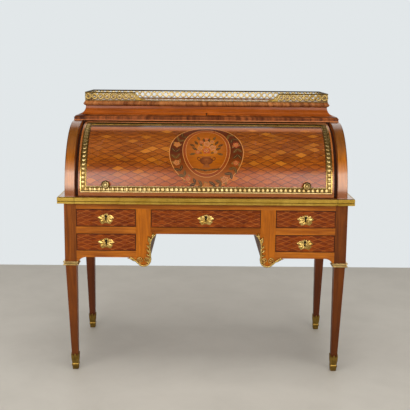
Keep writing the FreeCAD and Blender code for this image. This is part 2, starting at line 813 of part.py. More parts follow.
def make_cylinder():
    shell = sector("shell_board", shell_in, shell_out, d.shell_start_angle, d.shell_end_angle, shell_x)
    keep(shell, "cylinder_shell")

    # Gilt frame laid on the shell, a border width of arc at the top and bottom.
    border_x = shell_x - d.border_end_gap
    border_out = shell_out + d.border_proud
    band_angle = d.border_width / shell_out * (180 / math.pi)
    outer = sector("border_field", shell_out, border_out, d.border_start_angle, d.border_end_angle, border_x)
    inner = sector(
        "border_window", shell_out - d.border_proud, border_out + d.border_proud,
        d.border_start_angle + band_angle, d.border_end_angle - band_angle, border_x - d.border_width)
    keep(cut("cylinder_border_cut", outer, [inner]), "cylinder_border")

    # Rosette knobs on the lower part of the fall.
    radius, reach = d.fall_knob_radius, d.fall_knob_reach
    knob = turned("fall_knob_right", [(radius * u, reach * v) for u, v in FALL_KNOB_PROFILE])
    knob.Placement = Placement(Vector(), Rotation(Vector(1, 0, 0), 90 - d.fall_knob_angle.value))
    bind(knob, "Placement.Rotation.Angle", 90 - d.fall_knob_angle)
    foot = on_arc(shell_out, d.fall_knob_angle)
    place(knob, shell_x - d.fall_knob_inset, foot[0], foot[1])
    pair("cylinder_knobs", knob)

    # Quadrant arms inside the shell ends, turning on the pivot pins.
    arm_out = shell_x - d.arm_inset
    arm_in = arm_out - d.arm_thick
    rim = padded("arm_rim", "YZ_Plane", [
        on_arc(shell_in, d.shell_start_angle) + (shell_in, -1),
        on_arc(shell_in, d.shell_end_angle),
        on_arc(shell_in - d.arm_rim, d.shell_end_angle) + (shell_in - d.arm_rim, 1),
        on_arc(shell_in - d.arm_rim, d.shell_start_angle),
    ], d.arm_thick, arm_in)
    spokes = []
    for name, angle in (("low", d.arm_low_angle), ("high", d.arm_high_angle)):
        across = (sine(angle) * d.arm_spoke / 2, cosine(angle) * d.arm_spoke / 2)
        near = (axis_y, axis_z)
        far = on_arc(shell_in - d.arm_rim / 2, angle)
        spokes.append(padded(f"arm_spoke_{name}", "YZ_Plane", [
            (near[0] - across[0], near[1] - across[1]),
            (far[0] - across[0], far[1] - across[1]),
            (far[0] + across[0], far[1] + across[1]),
            (near[0] + across[0], near[1] + across[1]),
        ], d.arm_thick, arm_in))
    hub = rod("arm_hub", d.hub_radius, arm_in, arm_out, axis_y, axis_z)
    bore = rod("arm_bore", d.pin_radius + d.pin_clearance, arm_in, arm_out, axis_y, axis_z)
    pair("cylinder_arms", cut("arm_right", fuse("arm_fuse", [rim, hub] + spokes), [bore]))
    pair("pivot_pins", rod("pivot_pin_right", d.pin_radius, arm_in, cheek_in + d.pin_seat, axis_y, axis_z))


def make_cornice():
    # Lower moulding, hollow frieze and upper moulding, running round the front and both ends.
    cavetto_low = d.lower_mould
    radius = d.cavetto
    upper_low = cavetto_low + d.cavetto
    hollow_back = d.cavetto_step + radius
    lip = hollow_back - d.upper_mould_reach
    quarter = d.upper_mould / 4
    profile = [
        (0.0, 0.0),
        (0.0, d.lower_mould - d.cavetto_step, d.cavetto_step, -1),
        (d.cavetto_step, cavetto_low, radius, 1),
        (hollow_back, upper_low),
        (lip + quarter, upper_low + quarter),
        (lip, upper_low + quarter * 1.5),
        (lip, upper_low + d.upper_mould - quarter),
        (lip + quarter, upper_low + d.upper_mould),
    ]
    out_x = cheek_out + d.cornice_out
    front = axis_y + d.cornice_set
    block = moulded_block("cornice_block", profile, out_x, front, upper_back_y, cornice_z)
    inner_x = out_x - hollow_back - d.cornice_wall
    inner_y = (front + hollow_back + d.cornice_wall, upper_back_y - d.cornice_wall)
    well = box("cornice_well", (-inner_x, inner_x), inner_y, (cornice_z, top_z))
    keyhole = key_slot("cornice_keyhole", as_size(0.0), (front, inner_y[0]), cornice_z + d.keyhole_rise)
    keep(cut("cornice_cut", block, [well, keyhole]), "cornice")
    keep(box("top_slab", (-inner_x, inner_x), inner_y, (top_z - d.top_thick, top_z)), "top_board")
    keep(make_lock_case("cylinder_lock", as_size(0.0), inner_y[0], cornice_z + d.keyhole_rise),
         "cylinder_lock")
    make_gallery(out_x - hollow_back - d.gallery_set, front + hollow_back + d.gallery_set)


def key_slot(name, x, depth, z):
    # The upright slot that a key passes through, its head at the given height.
    half = d.key_slot / 2
    return box(name, (x - half, x + half), depth, (z - d.keyhole_slot, z + d.key_head))


def make_lock_case(name, x, y, z):
    # A closed lock behind its keyhole: case with its bolt drawn in.
    half_case, half_height = d.lock_width / 2, d.lock_height / 2
    depth = (y, y + d.lock_thick)
    case = box(f"{name}_case", (x - half_case, x + half_case), depth, (z - half_height, z + half_height))
    return cut(f"{name}_body", case, [key_slot(f"{name}_key_slot", x, depth, z)])


def gallery_panel(name, length, swept):
    # A pierced strip drawn from its start along X: rails above and below, rings between.
    height, rail = d.gallery_height, d.gallery_rail
    body = doc.addObject("PartDesign::Body", name)
    plate = new_sketch(body, "XZ_Plane", f"{name}_plate")
    if swept:
        drop = height - d.gallery_tail
        sweep_radius = (d.gallery_sweep * d.gallery_sweep + drop * drop) / (2 * drop)
        draw(plate, [
            (0.0, 0.0),
            (length, 0.0),
            (length, d.gallery_tail, sweep_radius, -1),
            (length - d.gallery_sweep, height),
            (0.0, height),
        ])
    else:
        draw(plate, [(0.0, 0.0), (length, 0.0), (length, height), (0.0, height)])
    web = body.newObject("PartDesign::Pad", f"{name}_web")
    web.Profile = plate
    bind(web, "Length", d.gallery_thick)
    pierced_length = length - d.gallery_sweep if swept else length
    middle, pitch = height / 2, d.gallery_pitch
    first = pitch / 2 + rail / 2
    rails = new_sketch(body, "XZ_Plane", f"{name}_rails")
    for low, high in ((as_size(0.0), rail), (height - rail, height)):
        run = pierced_length if low.value > 0 else length
        draw(rails, [(0.0, low), (run, low), (run, high), (0.0, high)])
    beads = body.newObject("PartDesign::Pad", f"{name}_beads")
    beads.Profile = rails
    bind(beads, "Length", d.gallery_rail_thick)
    piercing = new_sketch(body, "XZ_Plane", f"{name}_piercing")
    draw(piercing, octagon(first, middle, d.gallery_hole))
    spread, depth = pitch / 5, d.gallery_hole - rail / 2
    between = first + pitch / 2
    for edge, tip in ((rail, rail + depth), (height - rail, height - rail - depth)):
        draw(piercing, [(between - spread / 2, edge), (between + spread / 2, edge), (between, tip)])
    doc.recompute()
    whole = body.Shape.Volume
    holes = body.newObject("PartDesign::Pocket", f"{name}_holes")
    holes.Profile = piercing
    holes.Type = "ThroughAll"
    holes.Reversed = True
    rings = body.newObject("PartDesign::LinearPattern", f"{name}_rings")
    rings.Originals = [holes]
    rings.Direction = (piercing, ["H_Axis"])
    rings.Mode = "Spacing"
    bind(rings, "Offset", pitch)
    count = Size(math.floor((pierced_length.value - rail.value) / pitch.value),
                 f"floor(({pierced_length.text} - {rail.text}) / {pitch.text})")
    rings.Occurrences = int(count.value)
    bind(rings, "Occurrences", count)
    body.Tip = rings
    doc.recompute()
    if body.Shape.Volume > whole * PIERCED_SHARE:
        raise RuntimeError(f"{name} is not pierced")
    return body


def make_gallery(side_x, near_y):
    # Back, two ends and two short front returns whose inner ends sweep down.
    far_y = upper_back_y - d.gallery_set
    thick = d.gallery_rail_thick
    back = gallery_panel("gallery_back", 2 * side_x, False)
    place(back, -side_x, far_y, top_z)
    end = gallery_panel("gallery_end", far_y - near_y - 2 * thick, False)
    end.Placement = Placement(Vector(), Rotation(Vector(0, 0, 1), 90))
    place(end, side_x, near_y + thick, top_z)
    front = gallery_panel("gallery_front", d.gallery_return, True)
    front.Placement = Placement(Vector(), Rotation(Vector(0, 0, 1), 180))
    place(front, side_x, near_y, top_z)
    strips = [back]
    for piece in (end, front):
        strips += [piece, mirror(f"{piece.Name}_left", piece)]
    keep(group("gallery_set", strips), "gallery")


def make_nest():
    # Pigeonholes over a row of two small drawers and an open middle, behind the writing surface.
    half = reveal_in - d.nest_side_gap
    front = axis_y - d.nest_ahead
    back = front + d.nest_depth
    low = table_z + d.slide_clear
    floor = low + d.nest_base
    high = low + d.nest_height
    case = box("nest_block", (-half, half), (front, back), (low, high))
    wing = box("nest_wings", (-reveal_in, reveal_in), (front + d.nest_wing_back, back), (low, floor))
    cell_back = back - d.nest_divider
    inner = half - d.nest_board
    shelf_low = floor + d.nest_drawer_height
    shelf_high = shelf_low + d.nest_divider
    drawer_in = inner - inner * d.nest_drawer_share
    right_bay = (drawer_in, inner)
    cells = [
        box("nest_bay_right", right_bay, (front, cell_back), (floor, shelf_low)),
        box("nest_bay_left", both_sides(right_bay), (front, cell_back), (floor, shelf_low)),
        box("nest_bay_middle", (d.nest_divider - drawer_in, drawer_in - d.nest_divider),
            (front, cell_back), (floor, shelf_low)),
    ]
    cell_width = (2 * inner - d.nest_divider * (NEST_COLUMNS - 1)) / NEST_COLUMNS
    for column in range(NEST_COLUMNS):
        start = -inner + (cell_width + d.nest_divider) * column
        cells.append(box(
            f"nest_cell_{column}", (start, start + cell_width), (front, cell_back),
            (shelf_high, high - d.nest_board)))
    keep(cut("nest_case_cut", fuse("nest_case_fuse", [case, wing]), cells), "nest_case")
    for side, bay in (("left", both_sides(right_bay)), ("right", right_bay)):
        make_inner_drawer(side, bay, (front, cell_back), (floor, shelf_low))


def make_inner_drawer(side, bay, depth, height):
    name = f"inner_drawer_{side}"
    gap, run = d.drawer_gap, d.running_gap
    face = (depth[0], depth[0] + d.inner_front_thick)
    board = box(f"{name}_board", (bay[0] + gap, bay[1] - gap), face, (height[0] + run, height[1] - gap))
    radius, reach = d.inner_knob_radius, d.inner_knob_reach
    knob = turned(f"{name}_knob", [(radius * u, reach * v) for u, v in INNER_KNOB_PROFILE])
    knob.Placement = Placement(Vector(), Rotation(Vector(1, 0, 0), 90))
    place(knob, (bay[0] + bay[1]) / 2, depth[0], (height[0] + height[1]) / 2)
    keep(group(f"{name}_face", [board, knob]), f"{name}_front")
    wall = d.inner_box_wall
    outer_x = (bay[0] + gap, bay[1] - gap)
    outer_y = (face[1], depth[1] - gap)
    outer_z = (height[0] + run, height[1] - d.inner_headroom)
    outer = box(f"{name}_outer", outer_x, outer_y, outer_z)
    hollow = box(
        f"{name}_hollow", (outer_x[0] + wall, outer_x[1] - wall),
        (outer_y[0] + wall, outer_y[1] - wall), (outer_z[0] + wall, outer_z[1]))
    keep(cut(f"{name}_tray", outer, [hollow]), f"{name}_box")


def escutcheon(name, x, z):
    # A foliate plate: crest, side wings and lower lobes, with a round-headed keyhole.
    wide, high = d.escutcheon_width / 2, d.escutcheon_height / 2
    left_half = [(-u, v) for u, v in reversed(ESCUTCHEON_HALF[1:-1])]
    outline = [(wide * u, high * v) for u, v in list(ESCUTCHEON_HALF) + left_half]
    slot, rise = d.key_slot / 2, d.keyhole_rise_plate
    head = octagon(as_size(0.0), rise, d.key_head)
    neck = head[5][1]
    foot = rise - d.keyhole_slot
    keyhole = head[7:] + head[:5] + [(-slot, neck), (-slot, foot), (slot, foot), (slot, neck)]
    piece = padded(
        f"{name}_escutcheon_plate", "XZ_Plane", outline, d.escutcheon_thick, holes=[keyhole])
    place(piece, x, face_y, z)
    keep(piece, f"{name}_escutcheon")


def make_drawer(name, bay, height):
    # Front board, dovetailed box, escutcheon and lock of one frieze drawer.
    gap, run = d.drawer_gap, d.running_gap
    middle = (as_size(bay[0]) + bay[1]) / 2
    plate_z = (height[0] + height[1]) / 2 - d.escutcheon_drop
    key_z = plate_z + d.keyhole_rise_plate
    front_back = face_y + d.front_thick
    board = box(f"{name}_board", (bay[0] + gap, bay[1] - gap), (face_y, front_back),
                (height[0] + gap, height[1] - gap))
    keyway = key_slot(f"{name}_keyway", middle, (face_y, front_back), key_z)
    keep(cut(f"{name}_front_cut", board, [keyway]), f"{name}_front")
    wall = d.box_wall
    outer_x = (bay[0] + gap, bay[1] - gap)
    outer_y = (front_back, front_back + d.box_depth)
    outer_z = (height[0] + run, height[1] - d.box_headroom)
    outer = box(f"{name}_outer", outer_x, outer_y, outer_z)
    hollow = box(
        f"{name}_hollow", (outer_x[0] + wall, outer_x[1] - wall),
        (outer_y[0] + d.lock_thick, outer_y[1] - wall), (outer_z[0] + d.box_floor, outer_z[1]))
    lock_seat = box(
        f"{name}_lock_seat", (middle - d.lock_width / 2, middle + d.lock_width / 2),
        (outer_y[0], outer_y[0] + d.lock_thick), (key_z - d.lock_height / 2, outer_z[1]))
    keep(cut(f"{name}_tray", outer, [hollow, lock_seat]), f"{name}_box")
    escutcheon(name, middle, plate_z)
    keep(make_lock_case(f"{name}_lock", middle, front_back, key_z), f"{name}_lock")


def make_drawers():
    right_bay = (stile_out, leg_in_x)
    for side, bay in (("left", both_sides(right_bay)), ("right", right_bay)):
        make_drawer(f"upper_{side}_drawer", bay, (mid_top, open_top))
        make_drawer(f"lower_{side}_drawer", bay, (low_floor, mid_low))
    make_drawer("centre_drawer", (-stile_in, stile_in), (centre_floor, open_top))


make_legs()
make_front_frame()
make_carcass_boards()
make_table()
make_cheeks()
make_cylinder()
make_cornice()
make_nest()
make_drawers()
doc.recompute()

faults = [item.Name for item in doc.Objects if {"Invalid", "Error"} & set(item.State)]
faults += [item.Label for item in nodes if item.Shape.isNull() or not item.Shape.isValid()]
if faults:
    raise RuntimeError("failed objects: " + ", ".join(faults))

os.makedirs("parts", exist_ok=True)
for item in nodes:
    item.Shape.exportStep(f"parts/{item.Label}.step")
print(len(nodes), "nodes written")
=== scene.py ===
import bmesh
import bpy
import json
import random
from math import atan, atan2, ceil, copysign, cos, dist, exp, floor, hypot, pi, radians, sin, sqrt
from mathutils import Matrix, Vector

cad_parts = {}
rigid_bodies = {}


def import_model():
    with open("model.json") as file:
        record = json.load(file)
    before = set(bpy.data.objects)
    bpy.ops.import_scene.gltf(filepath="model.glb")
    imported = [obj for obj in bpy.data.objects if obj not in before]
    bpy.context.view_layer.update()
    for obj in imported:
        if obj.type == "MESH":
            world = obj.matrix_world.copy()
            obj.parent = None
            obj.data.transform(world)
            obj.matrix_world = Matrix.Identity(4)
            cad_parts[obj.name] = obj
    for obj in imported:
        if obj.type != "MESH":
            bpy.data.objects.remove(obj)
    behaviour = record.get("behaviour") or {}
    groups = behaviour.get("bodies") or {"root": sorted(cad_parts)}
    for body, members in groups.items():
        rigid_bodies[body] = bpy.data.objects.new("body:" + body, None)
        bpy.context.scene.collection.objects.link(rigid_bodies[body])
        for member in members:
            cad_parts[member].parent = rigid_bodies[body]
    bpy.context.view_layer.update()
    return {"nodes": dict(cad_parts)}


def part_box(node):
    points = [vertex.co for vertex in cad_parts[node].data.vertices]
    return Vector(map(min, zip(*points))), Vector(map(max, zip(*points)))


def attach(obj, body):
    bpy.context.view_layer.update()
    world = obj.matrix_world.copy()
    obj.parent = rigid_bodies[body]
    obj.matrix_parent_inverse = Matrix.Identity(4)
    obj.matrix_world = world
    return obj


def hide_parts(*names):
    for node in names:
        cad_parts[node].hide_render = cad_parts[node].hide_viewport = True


for startObject in list(bpy.data.objects):
    bpy.data.objects.remove(startObject)
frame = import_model()
nodes = frame["nodes"]
print("frame loaded:", len(nodes), "nodes")

# Main places of the desk, in metres.
desk = {
    "axisY": -0.021,
    "axisZ": 0.78,
    "shellOut": 0.277,
    "shellIn": 0.259,
    "shellEnd": 0.535,
    "faceY": -0.304,
    "topZ": 1.147,
}
drawerNames = [
    "upper_left_drawer", "lower_left_drawer", "centre_drawer",
    "upper_right_drawer", "lower_right_drawer",
]


def fromScreen(red, green, blue):
    # a screen colour as the linear one that shaders take
    linear = []
    for part in (red, green, blue):
        share = part / 255
        linear.append(share / 12.92 if share <= 0.04045 else ((share + 0.055) / 1.055) ** 2.4)
    return (*linear, 1.0)


def newNode(tree, kind, **settings):
    node = tree.nodes.new(kind)
    for name, value in settings.items():
        setattr(node, name, value)
    return node


def feed(tree, socket, value):
    if isinstance(value, bpy.types.NodeSocket):
        tree.links.new(value, socket)
    else:
        socket.default_value = value


def wired(tree, kind, inputs, **settings):
    # a new node with its inputs fed, by name or by number
    node = newNode(tree, kind, **settings)
    for name, value in inputs.items():
        feed(tree, node.inputs[name], value)
    return node.outputs


def calc(tree, operation, *values):
    return wired(tree, "ShaderNodeMath", dict(enumerate(values)), operation=operation)[0]


def vectorCalc(tree, operation, *values):
    return wired(tree, "ShaderNodeVectorMath", dict(enumerate(values)), operation=operation)[0]


def step(tree, value, low, high, first=0.0, last=1.0):
    # a smooth change from the first value to the last between two limits
    inputs = dict(enumerate((value, low, high, first, last)))
    return wired(tree, "ShaderNodeMapRange", inputs, interpolation_type="SMOOTHSTEP")[0]


def mixed(tree, share, first, second, blend="MIX"):
    # a tint of three numbers is a screen colour
    first, second = (fromScreen(*tint) if isinstance(tint, tuple) and len(tint) == 3 else tint
                     for tint in (first, second))
    inputs = {0: share, 6: first, 7: second}
    return wired(tree, "ShaderNodeMix", inputs, data_type="RGBA", blend_type=blend)[2]


def noise(tree, vector, scale, detail=3.0, rough=0.55, twist=0.0):
    inputs = {"Vector": vector, "Scale": scale, "Detail": detail, "Roughness": rough, "Distortion": twist}
    return wired(tree, "ShaderNodeTexNoise", inputs)[0]


def axes(tree, vector):
    return wired(tree, "ShaderNodeSeparateXYZ", {0: vector})


def gapFrom(tree, value, place):
    # how far a value lies from a place
    return calc(tree, "ABSOLUTE", calc(tree, "SUBTRACT", value, place))


def insideBy(tree, *pairs):
    # how far a spot lies inside a rectangle, from pairs of a place and half a width
    gaps = [calc(tree, "SUBTRACT", half, calc(tree, "ABSOLUTE", place)) for place, half in pairs]
    return calc(tree, "MINIMUM", *gaps)


def newGroup(name, inputs, outputs):
    group = bpy.data.node_groups.new(name, "ShaderNodeTree")
    for label, kind in inputs:
        group.interface.new_socket(label, in_out="INPUT", socket_type=f"NodeSocket{kind}")
    for label in outputs:
        group.interface.new_socket(label, in_out="OUTPUT", socket_type="NodeSocketFloat")
    return group, newNode(group, "NodeGroupInput").outputs, newNode(group, "NodeGroupOutput").inputs


patternLook = {  # clouds have their scale, detail, roughness and twist, then the limits of the change
    "Figure": ((1.0, 6.0, 0.62, 0.7), (0.3, 0.7)), "Pores": ((1.0, 3.0, 0.6), (0.52, 0.74)),
    "Patch": ((7.0, 2.0, 0.5), (0.34, 0.68)), "poreStretch": (2.6, 5.0, 5.0),
    "sway": (42.0, 1.0), "lineSoft": 1.9, "wear": (5.0, 0.62, 0.3),
}


def makeGrain(look):
    # long streaks, short pores and broad patches of a veneer
    inputs = [("Vector", "Vector"), ("Stretch", "Vector"), ("Seed", "Float")]
    group, given, put = newGroup("veneerGrain", inputs, ["Figure", "Pores", "Patch"])
    shift = wired(group, "ShaderNodeCombineXYZ", {axis: given["Seed"] for axis in "XYZ"})[0]
    drawn = vectorCalc(group, "MULTIPLY", given["Vector"], given["Stretch"])
    drawn = vectorCalc(group, "ADD", drawn, shift)
    fine = vectorCalc(group, "MULTIPLY", drawn, look["poreStretch"])
    spread = vectorCalc(group, "ADD", given["Vector"], shift)
    for part, vector in (("Figure", drawn), ("Pores", fine), ("Patch", spread)):
        cloud, limits = look[part]
        feed(group, put[part], step(group, noise(group, vector, *cloud), *limits))
    return group


def makeTrellis(look):
    # crossing lines of a lozenge pattern, with a tint for each lozenge
    inputs = [(name, "Float") for name in ("Along", "Across", "Width", "Height", "Line", "Wobble")]
    group, given, put = newGroup("lozengeTrellis", inputs, ["Lines", "Tint"])
    spot = wired(group, "ShaderNodeCombineXYZ", {"X": given["Along"], "Y": given["Across"]})[0]
    sway = calc(group, "SUBTRACT", noise(group, spot, *look["sway"]), 0.5)
    across = calc(group, "MULTIPLY_ADD", sway, given["Wobble"], given["Across"])
    wide = calc(group, "DIVIDE", given["Along"], given["Width"])
    high = calc(group, "DIVIDE", across, given["Height"])
    slants = [calc(group, sign, wide, high) for sign in ("ADD", "SUBTRACT")]
    nearest = calc(group, "MINIMUM", *(calc(group, "PINGPONG", slant, 0.5) for slant in slants))
    half = calc(group, "MULTIPLY", given["Line"], 0.5)
    soft = calc(group, "MULTIPLY", half, look["lineSoft"])
    feed(group, put["Lines"], step(group, nearest, half, soft, 1.0, 0.0))
    floors = dict(enumerate(calc(group, "FLOOR", slant) for slant in slants))
    cell = wired(group, "ShaderNodeCombineXYZ", floors)[0]
    speck = wired(group, "ShaderNodeTexWhiteNoise", {"Vector": cell}, noise_dimensions="2D")
    feed(group, put["Tint"], speck["Value"])
    return group


def makeWear(look):
    # cloudy marks of rubbing, dirt or dust
    inputs = [("Vector", "Vector"), ("Scale", "Float"), ("Low", "Float"), ("High", "Float")]
    group, given, put = newGroup("rubbedWear", inputs, ["Mask"])
    cloud = noise(group, given["Vector"], given["Scale"], *look["wear"])
    feed(group, put["Mask"], step(group, cloud, given["Low"], given["High"]))
    return group


grainGroup, trellisGroup, wearGroup = (make(patternLook) for make in (makeGrain, makeTrellis, makeWear))


def useGroup(tree, group, **values):
    return wired(tree, "ShaderNodeGroup", values, node_tree=group)


def worn(tree, vector, scale, low, high):
    return useGroup(tree, wearGroup, Vector=vector, Scale=scale, Low=low, High=high)["Mask"]


def laidTrellis(tree, along, across, look):
    sizes = {name: look[name.lower()] for name in ("Width", "Height", "Line", "Wobble")}
    return useGroup(tree, trellisGroup, Along=along, Across=across, **sizes)


def newFinish(name, rough, coat=0.0, metal=0.0):
    material = bpy.data.materials.new(name)
    material.use_nodes = True
    tree = material.node_tree
    sockets = tree.nodes["Principled BSDF"].inputs
    for label, value in (("Roughness", rough), ("Metallic", metal), ("Coat Weight", coat),
                         ("Coat Roughness", 0.16), ("Specular IOR Level", 0.5 if metal else 0.14)):
        sockets[label].default_value = value
    return material, tree, sockets


def objectCoords(tree, shift=None):
    place = newNode(tree, "ShaderNodeTexCoord").outputs["Object"]
    if shift is None:
        return place
    return wired(tree, "ShaderNodeMapping", {"Vector": place, "Location": shift})[0]


def surfaced(tree, sockets, colour, mask, change, rough, relief, strength, distance=0.0004):
    # the colour, a roughness that changes with a mask, and a fine relief
    feed(tree, sockets["Base Color"], colour)
    feed(tree, sockets["Roughness"], calc(tree, "MULTIPLY_ADD", mask, change, rough))
    inputs = {"Strength": strength, "Distance": distance, "Height": relief}
    feed(tree, sockets["Normal"], wired(tree, "ShaderNodeBump", inputs)[0])


def veneer(name, look):
    # polished wood with streaks along the axis that has the small stretch
    material, tree, sockets = newFinish(name, look["rough"], look["coat"])
    vector = newNode(tree, "ShaderNodeUVMap").outputs[0] if look["map"] == "UV" else objectCoords(tree)
    grain = useGroup(tree, grainGroup, Vector=vector, Stretch=look["stretch"], Seed=look["seed"])
    colour = mixed(tree, grain["Figure"], look["dark"], look["light"])
    for part in ("Patch", "Pores"):
        share = calc(tree, "MULTIPLY", grain[part], look[part.lower()])
        colour = mixed(tree, share, colour, look["deep"])
    for edge in look["edges"]:  # dark lines let in along both edges
        gap = gapFrom(tree, calc(tree, "ABSOLUTE", axes(tree, vector)[0]), edge)
        colour = mixed(tree, step(tree, gap, *look["lineFade"]), colour, look["line"])
    # painted light and shade that change with height
    for tint, *change in look["heights"]:  # tones that change with height
        colour = mixed(tree, step(tree, axes(tree, vector)[2], *change), colour, tint)
    surfaced(tree, sockets, colour, worn(tree, vector, *look["wear"]), look["rub"], look["rough"],
             grain["Pores"], look["bump"])
    return material


def giltMetal(name, look, line):
    # cast metal: bright where it is rubbed, brown in the dirt that stays on it
    material, tree, sockets = newFinish(name, look["rough"], 0.0, 1.0)
    vector = objectCoords(tree)
    dirt = worn(tree, vector, look["scale"], look["low"], look["high"])
    tone = worn(tree, vector, look["scale"] * look["broad"], *look["toneLimits"])
    colour = mixed(tree, tone, look["bright"], look["warm"])
    hollow = newNode(tree, "ShaderNodeAttribute", attribute_name="hollow").outputs["Fac"]
    soil = calc(tree, "MAXIMUM", calc(tree, "MULTIPLY", dirt, look["soil"]), hollow)
    colour = mixed(tree, soil, colour, look["dark"])
    if line:  # darker along a groove at a known height, and dark in the seams at the ends of the slide
        place = axes(tree, vector)
        seam = gapFrom(tree, calc(tree, "ABSOLUTE", place[0]), line["seamX"])
        colour = mixed(tree, step(tree, seam, *line["seamFade"]), colour, look["dark"])
        gap = gapFrom(tree, place[2], line["z"])
        colour = mixed(tree, step(tree, gap, *line["zFade"]), colour, look["dark"])
    surfaced(tree, sockets, colour, soil, look["rub"], look["rough"], dirt, look["bump"])
    return material


# Woods: dark and light streaks, deep pores, stretch of the grain, seed, roughness, and what else differs.
woodColumns = ("dark", "light", "deep", "stretch", "seed", "rough")
woodUsual = {
    "coat": 0.06, "map": "Object", "patch": 0.3, "pores": 0.45, "bump": 0.12, "wear": (16.0, 0.4, 0.75),
    "rub": 0.14, "edges": (), "lineFade": (0.002, 0.003, 0.8, 0.0), "heights": (),
}
woodRows = {
    # the top rail is darker just under the table's edge, as painted shade
    "railVeneer": ((146, 76, 12), (196, 114, 30), (112, 54, 10), (5, 76, 76), 1.0, 0.3,
                   {"heights": [((84, 44, 4), 0.712, 0.734, 0.0, 0.5)]}),
    # a darker copy of the rail veneer for the kneehole rail, as painted shade
    "shadedKneeVeneer": ((130, 64, 2), (168, 90, 6), (98, 46, 2), (5, 76, 76), 2.0, 0.32, {}),
    "stileVeneer": ((152, 80, 8), (200, 114, 18), (122, 58, 8), (76, 76, 5), 4.0, 0.3, {}),
    # the legs grow darker toward the floor, as painted shade
    "legVeneer": ((110, 54, 8), (150, 80, 16), (82, 36, 8), (84, 84, 4), 7.0, 0.44,
                  {"heights": [((84, 40, 14), 0.08, 0.62, 0.7, 0.0)]}),
    # the right front leg is a darker copy of the leg veneer, as painted shade
    "shadedRightLegVeneer": ((90, 42, 4), (126, 64, 10), (68, 28, 4), (84, 84, 4), 8.0, 0.44,
                       {"heights": [((78, 36, 10), 0.08, 0.62, 0.7, 0.0)]}),
    # the rear legs are a darker copy of the leg veneer, as painted shade
    "shadedRearLegVeneer": ((88, 40, 8), (124, 60, 16), (66, 28, 8), (84, 84, 4), 9.0, 0.46,
                      {"heights": [((66, 28, 10), 0.08, 0.62, 0.6, 0.0)]}),
    "sideVeneer": ((136, 68, 22), (178, 96, 36), (100, 44, 14), (120, 5, 90), 11.0, 0.3, {"patch": 0.45}),
    "tableVeneer": ((136, 68, 22), (178, 96, 36), (100, 44, 14), (5, 120, 90), 13.0, 0.22,
                    {"patch": 0.45, "coat": 0.9}),
    # cheeks: painted shade toward the top, a painted pink highlight low down, and darker at the foot
    "cheekVeneer": ((156, 84, 10), (204, 120, 26), (104, 50, 12), (84, 7, 7), 15.0, 0.26,
                    {"coat": 0.9, "edges": (0.55, 0.59), "line": (44, 20, 8), "heights": [
                        ((90, 52, 14), 0.88, 1.02, 0.0, 0.75), ((240, 190, 160), 0.86, 0.93, 0.3, 0.0),
                        ((130, 66, 14), 0.785, 0.825, 0.8, 0.0)]}),
    "cavettoVeneer": ((132, 60, 8), (178, 90, 16), (96, 40, 8), (4, 90, 1), 19.0, 0.26,
                      {"coat": 0.25, "map": "UV"}),
    "crossVeneer": ((74, 30, 8), (176, 98, 46), (56, 20, 8), (48, 6, 1), 23.0, 0.28,
                    {"map": "UV", "patch": 0.45}),
    "bullnoseVeneer": ((106, 54, 24), (194, 126, 70), (80, 36, 14), (56, 10, 1), 25.0, 0.24, {"map": "UV"}),
    "topVeneer": ((96, 52, 24), (138, 82, 42), (72, 36, 16), (5, 130, 60), 27.0, 0.16, {"coat": 0.6}),
    "edgeVeneer": ((110, 50, 24), (156, 82, 44), (84, 36, 16), (7, 120, 120), 29.0, 0.3, {}),
    # a pale wood, made brighter as a painted highlight
    "paleEdge": ((176, 100, 52), (220, 146, 90), (140, 74, 36), (8, 90, 1), 30.0, 0.26, {"map": "UV"}),
    # dark wood that stands for shade, in the quirks of the cornice and in its keyhole
    "darkString": ((52, 22, 10), (84, 38, 18), (38, 16, 8), (9, 120, 1), 30.5, 0.3, {"map": "UV"}),
    # dark wood on the step inside each cheek, as painted shade in the slot beside the cylinder
    "slotShadeWood": ((44, 20, 10), (66, 32, 16), (34, 14, 8), (60, 8, 8), 30.8, 0.5, {"coat": 0.0}),
    "plainOak": ((128, 92, 54), (172, 130, 82), (98, 66, 36), (5, 110, 110), 31.0, 0.55,
                 {"coat": 0.0, "bump": 0.3}),
    "depthOak": ((124, 88, 52), (168, 126, 80), (94, 62, 34), (110, 5, 110), 33.0, 0.55,
                 {"coat": 0.0, "bump": 0.3}),
    "backOak": ((96, 64, 38), (134, 94, 58), (70, 44, 24), (90, 90, 5), 37.0, 0.6,
                {"coat": 0.0, "bump": 0.35}),
    "nestVeneer": ((132, 70, 28), (176, 102, 48), (98, 46, 16), (8, 110, 110), 41.0, 0.34, {"coat": 0.25}),
}
finishes = {}
for finishName, (*row, more) in woodRows.items():
    finishes[finishName] = veneer(finishName, {**woodUsual, **dict(zip(woodColumns, row)), **more})

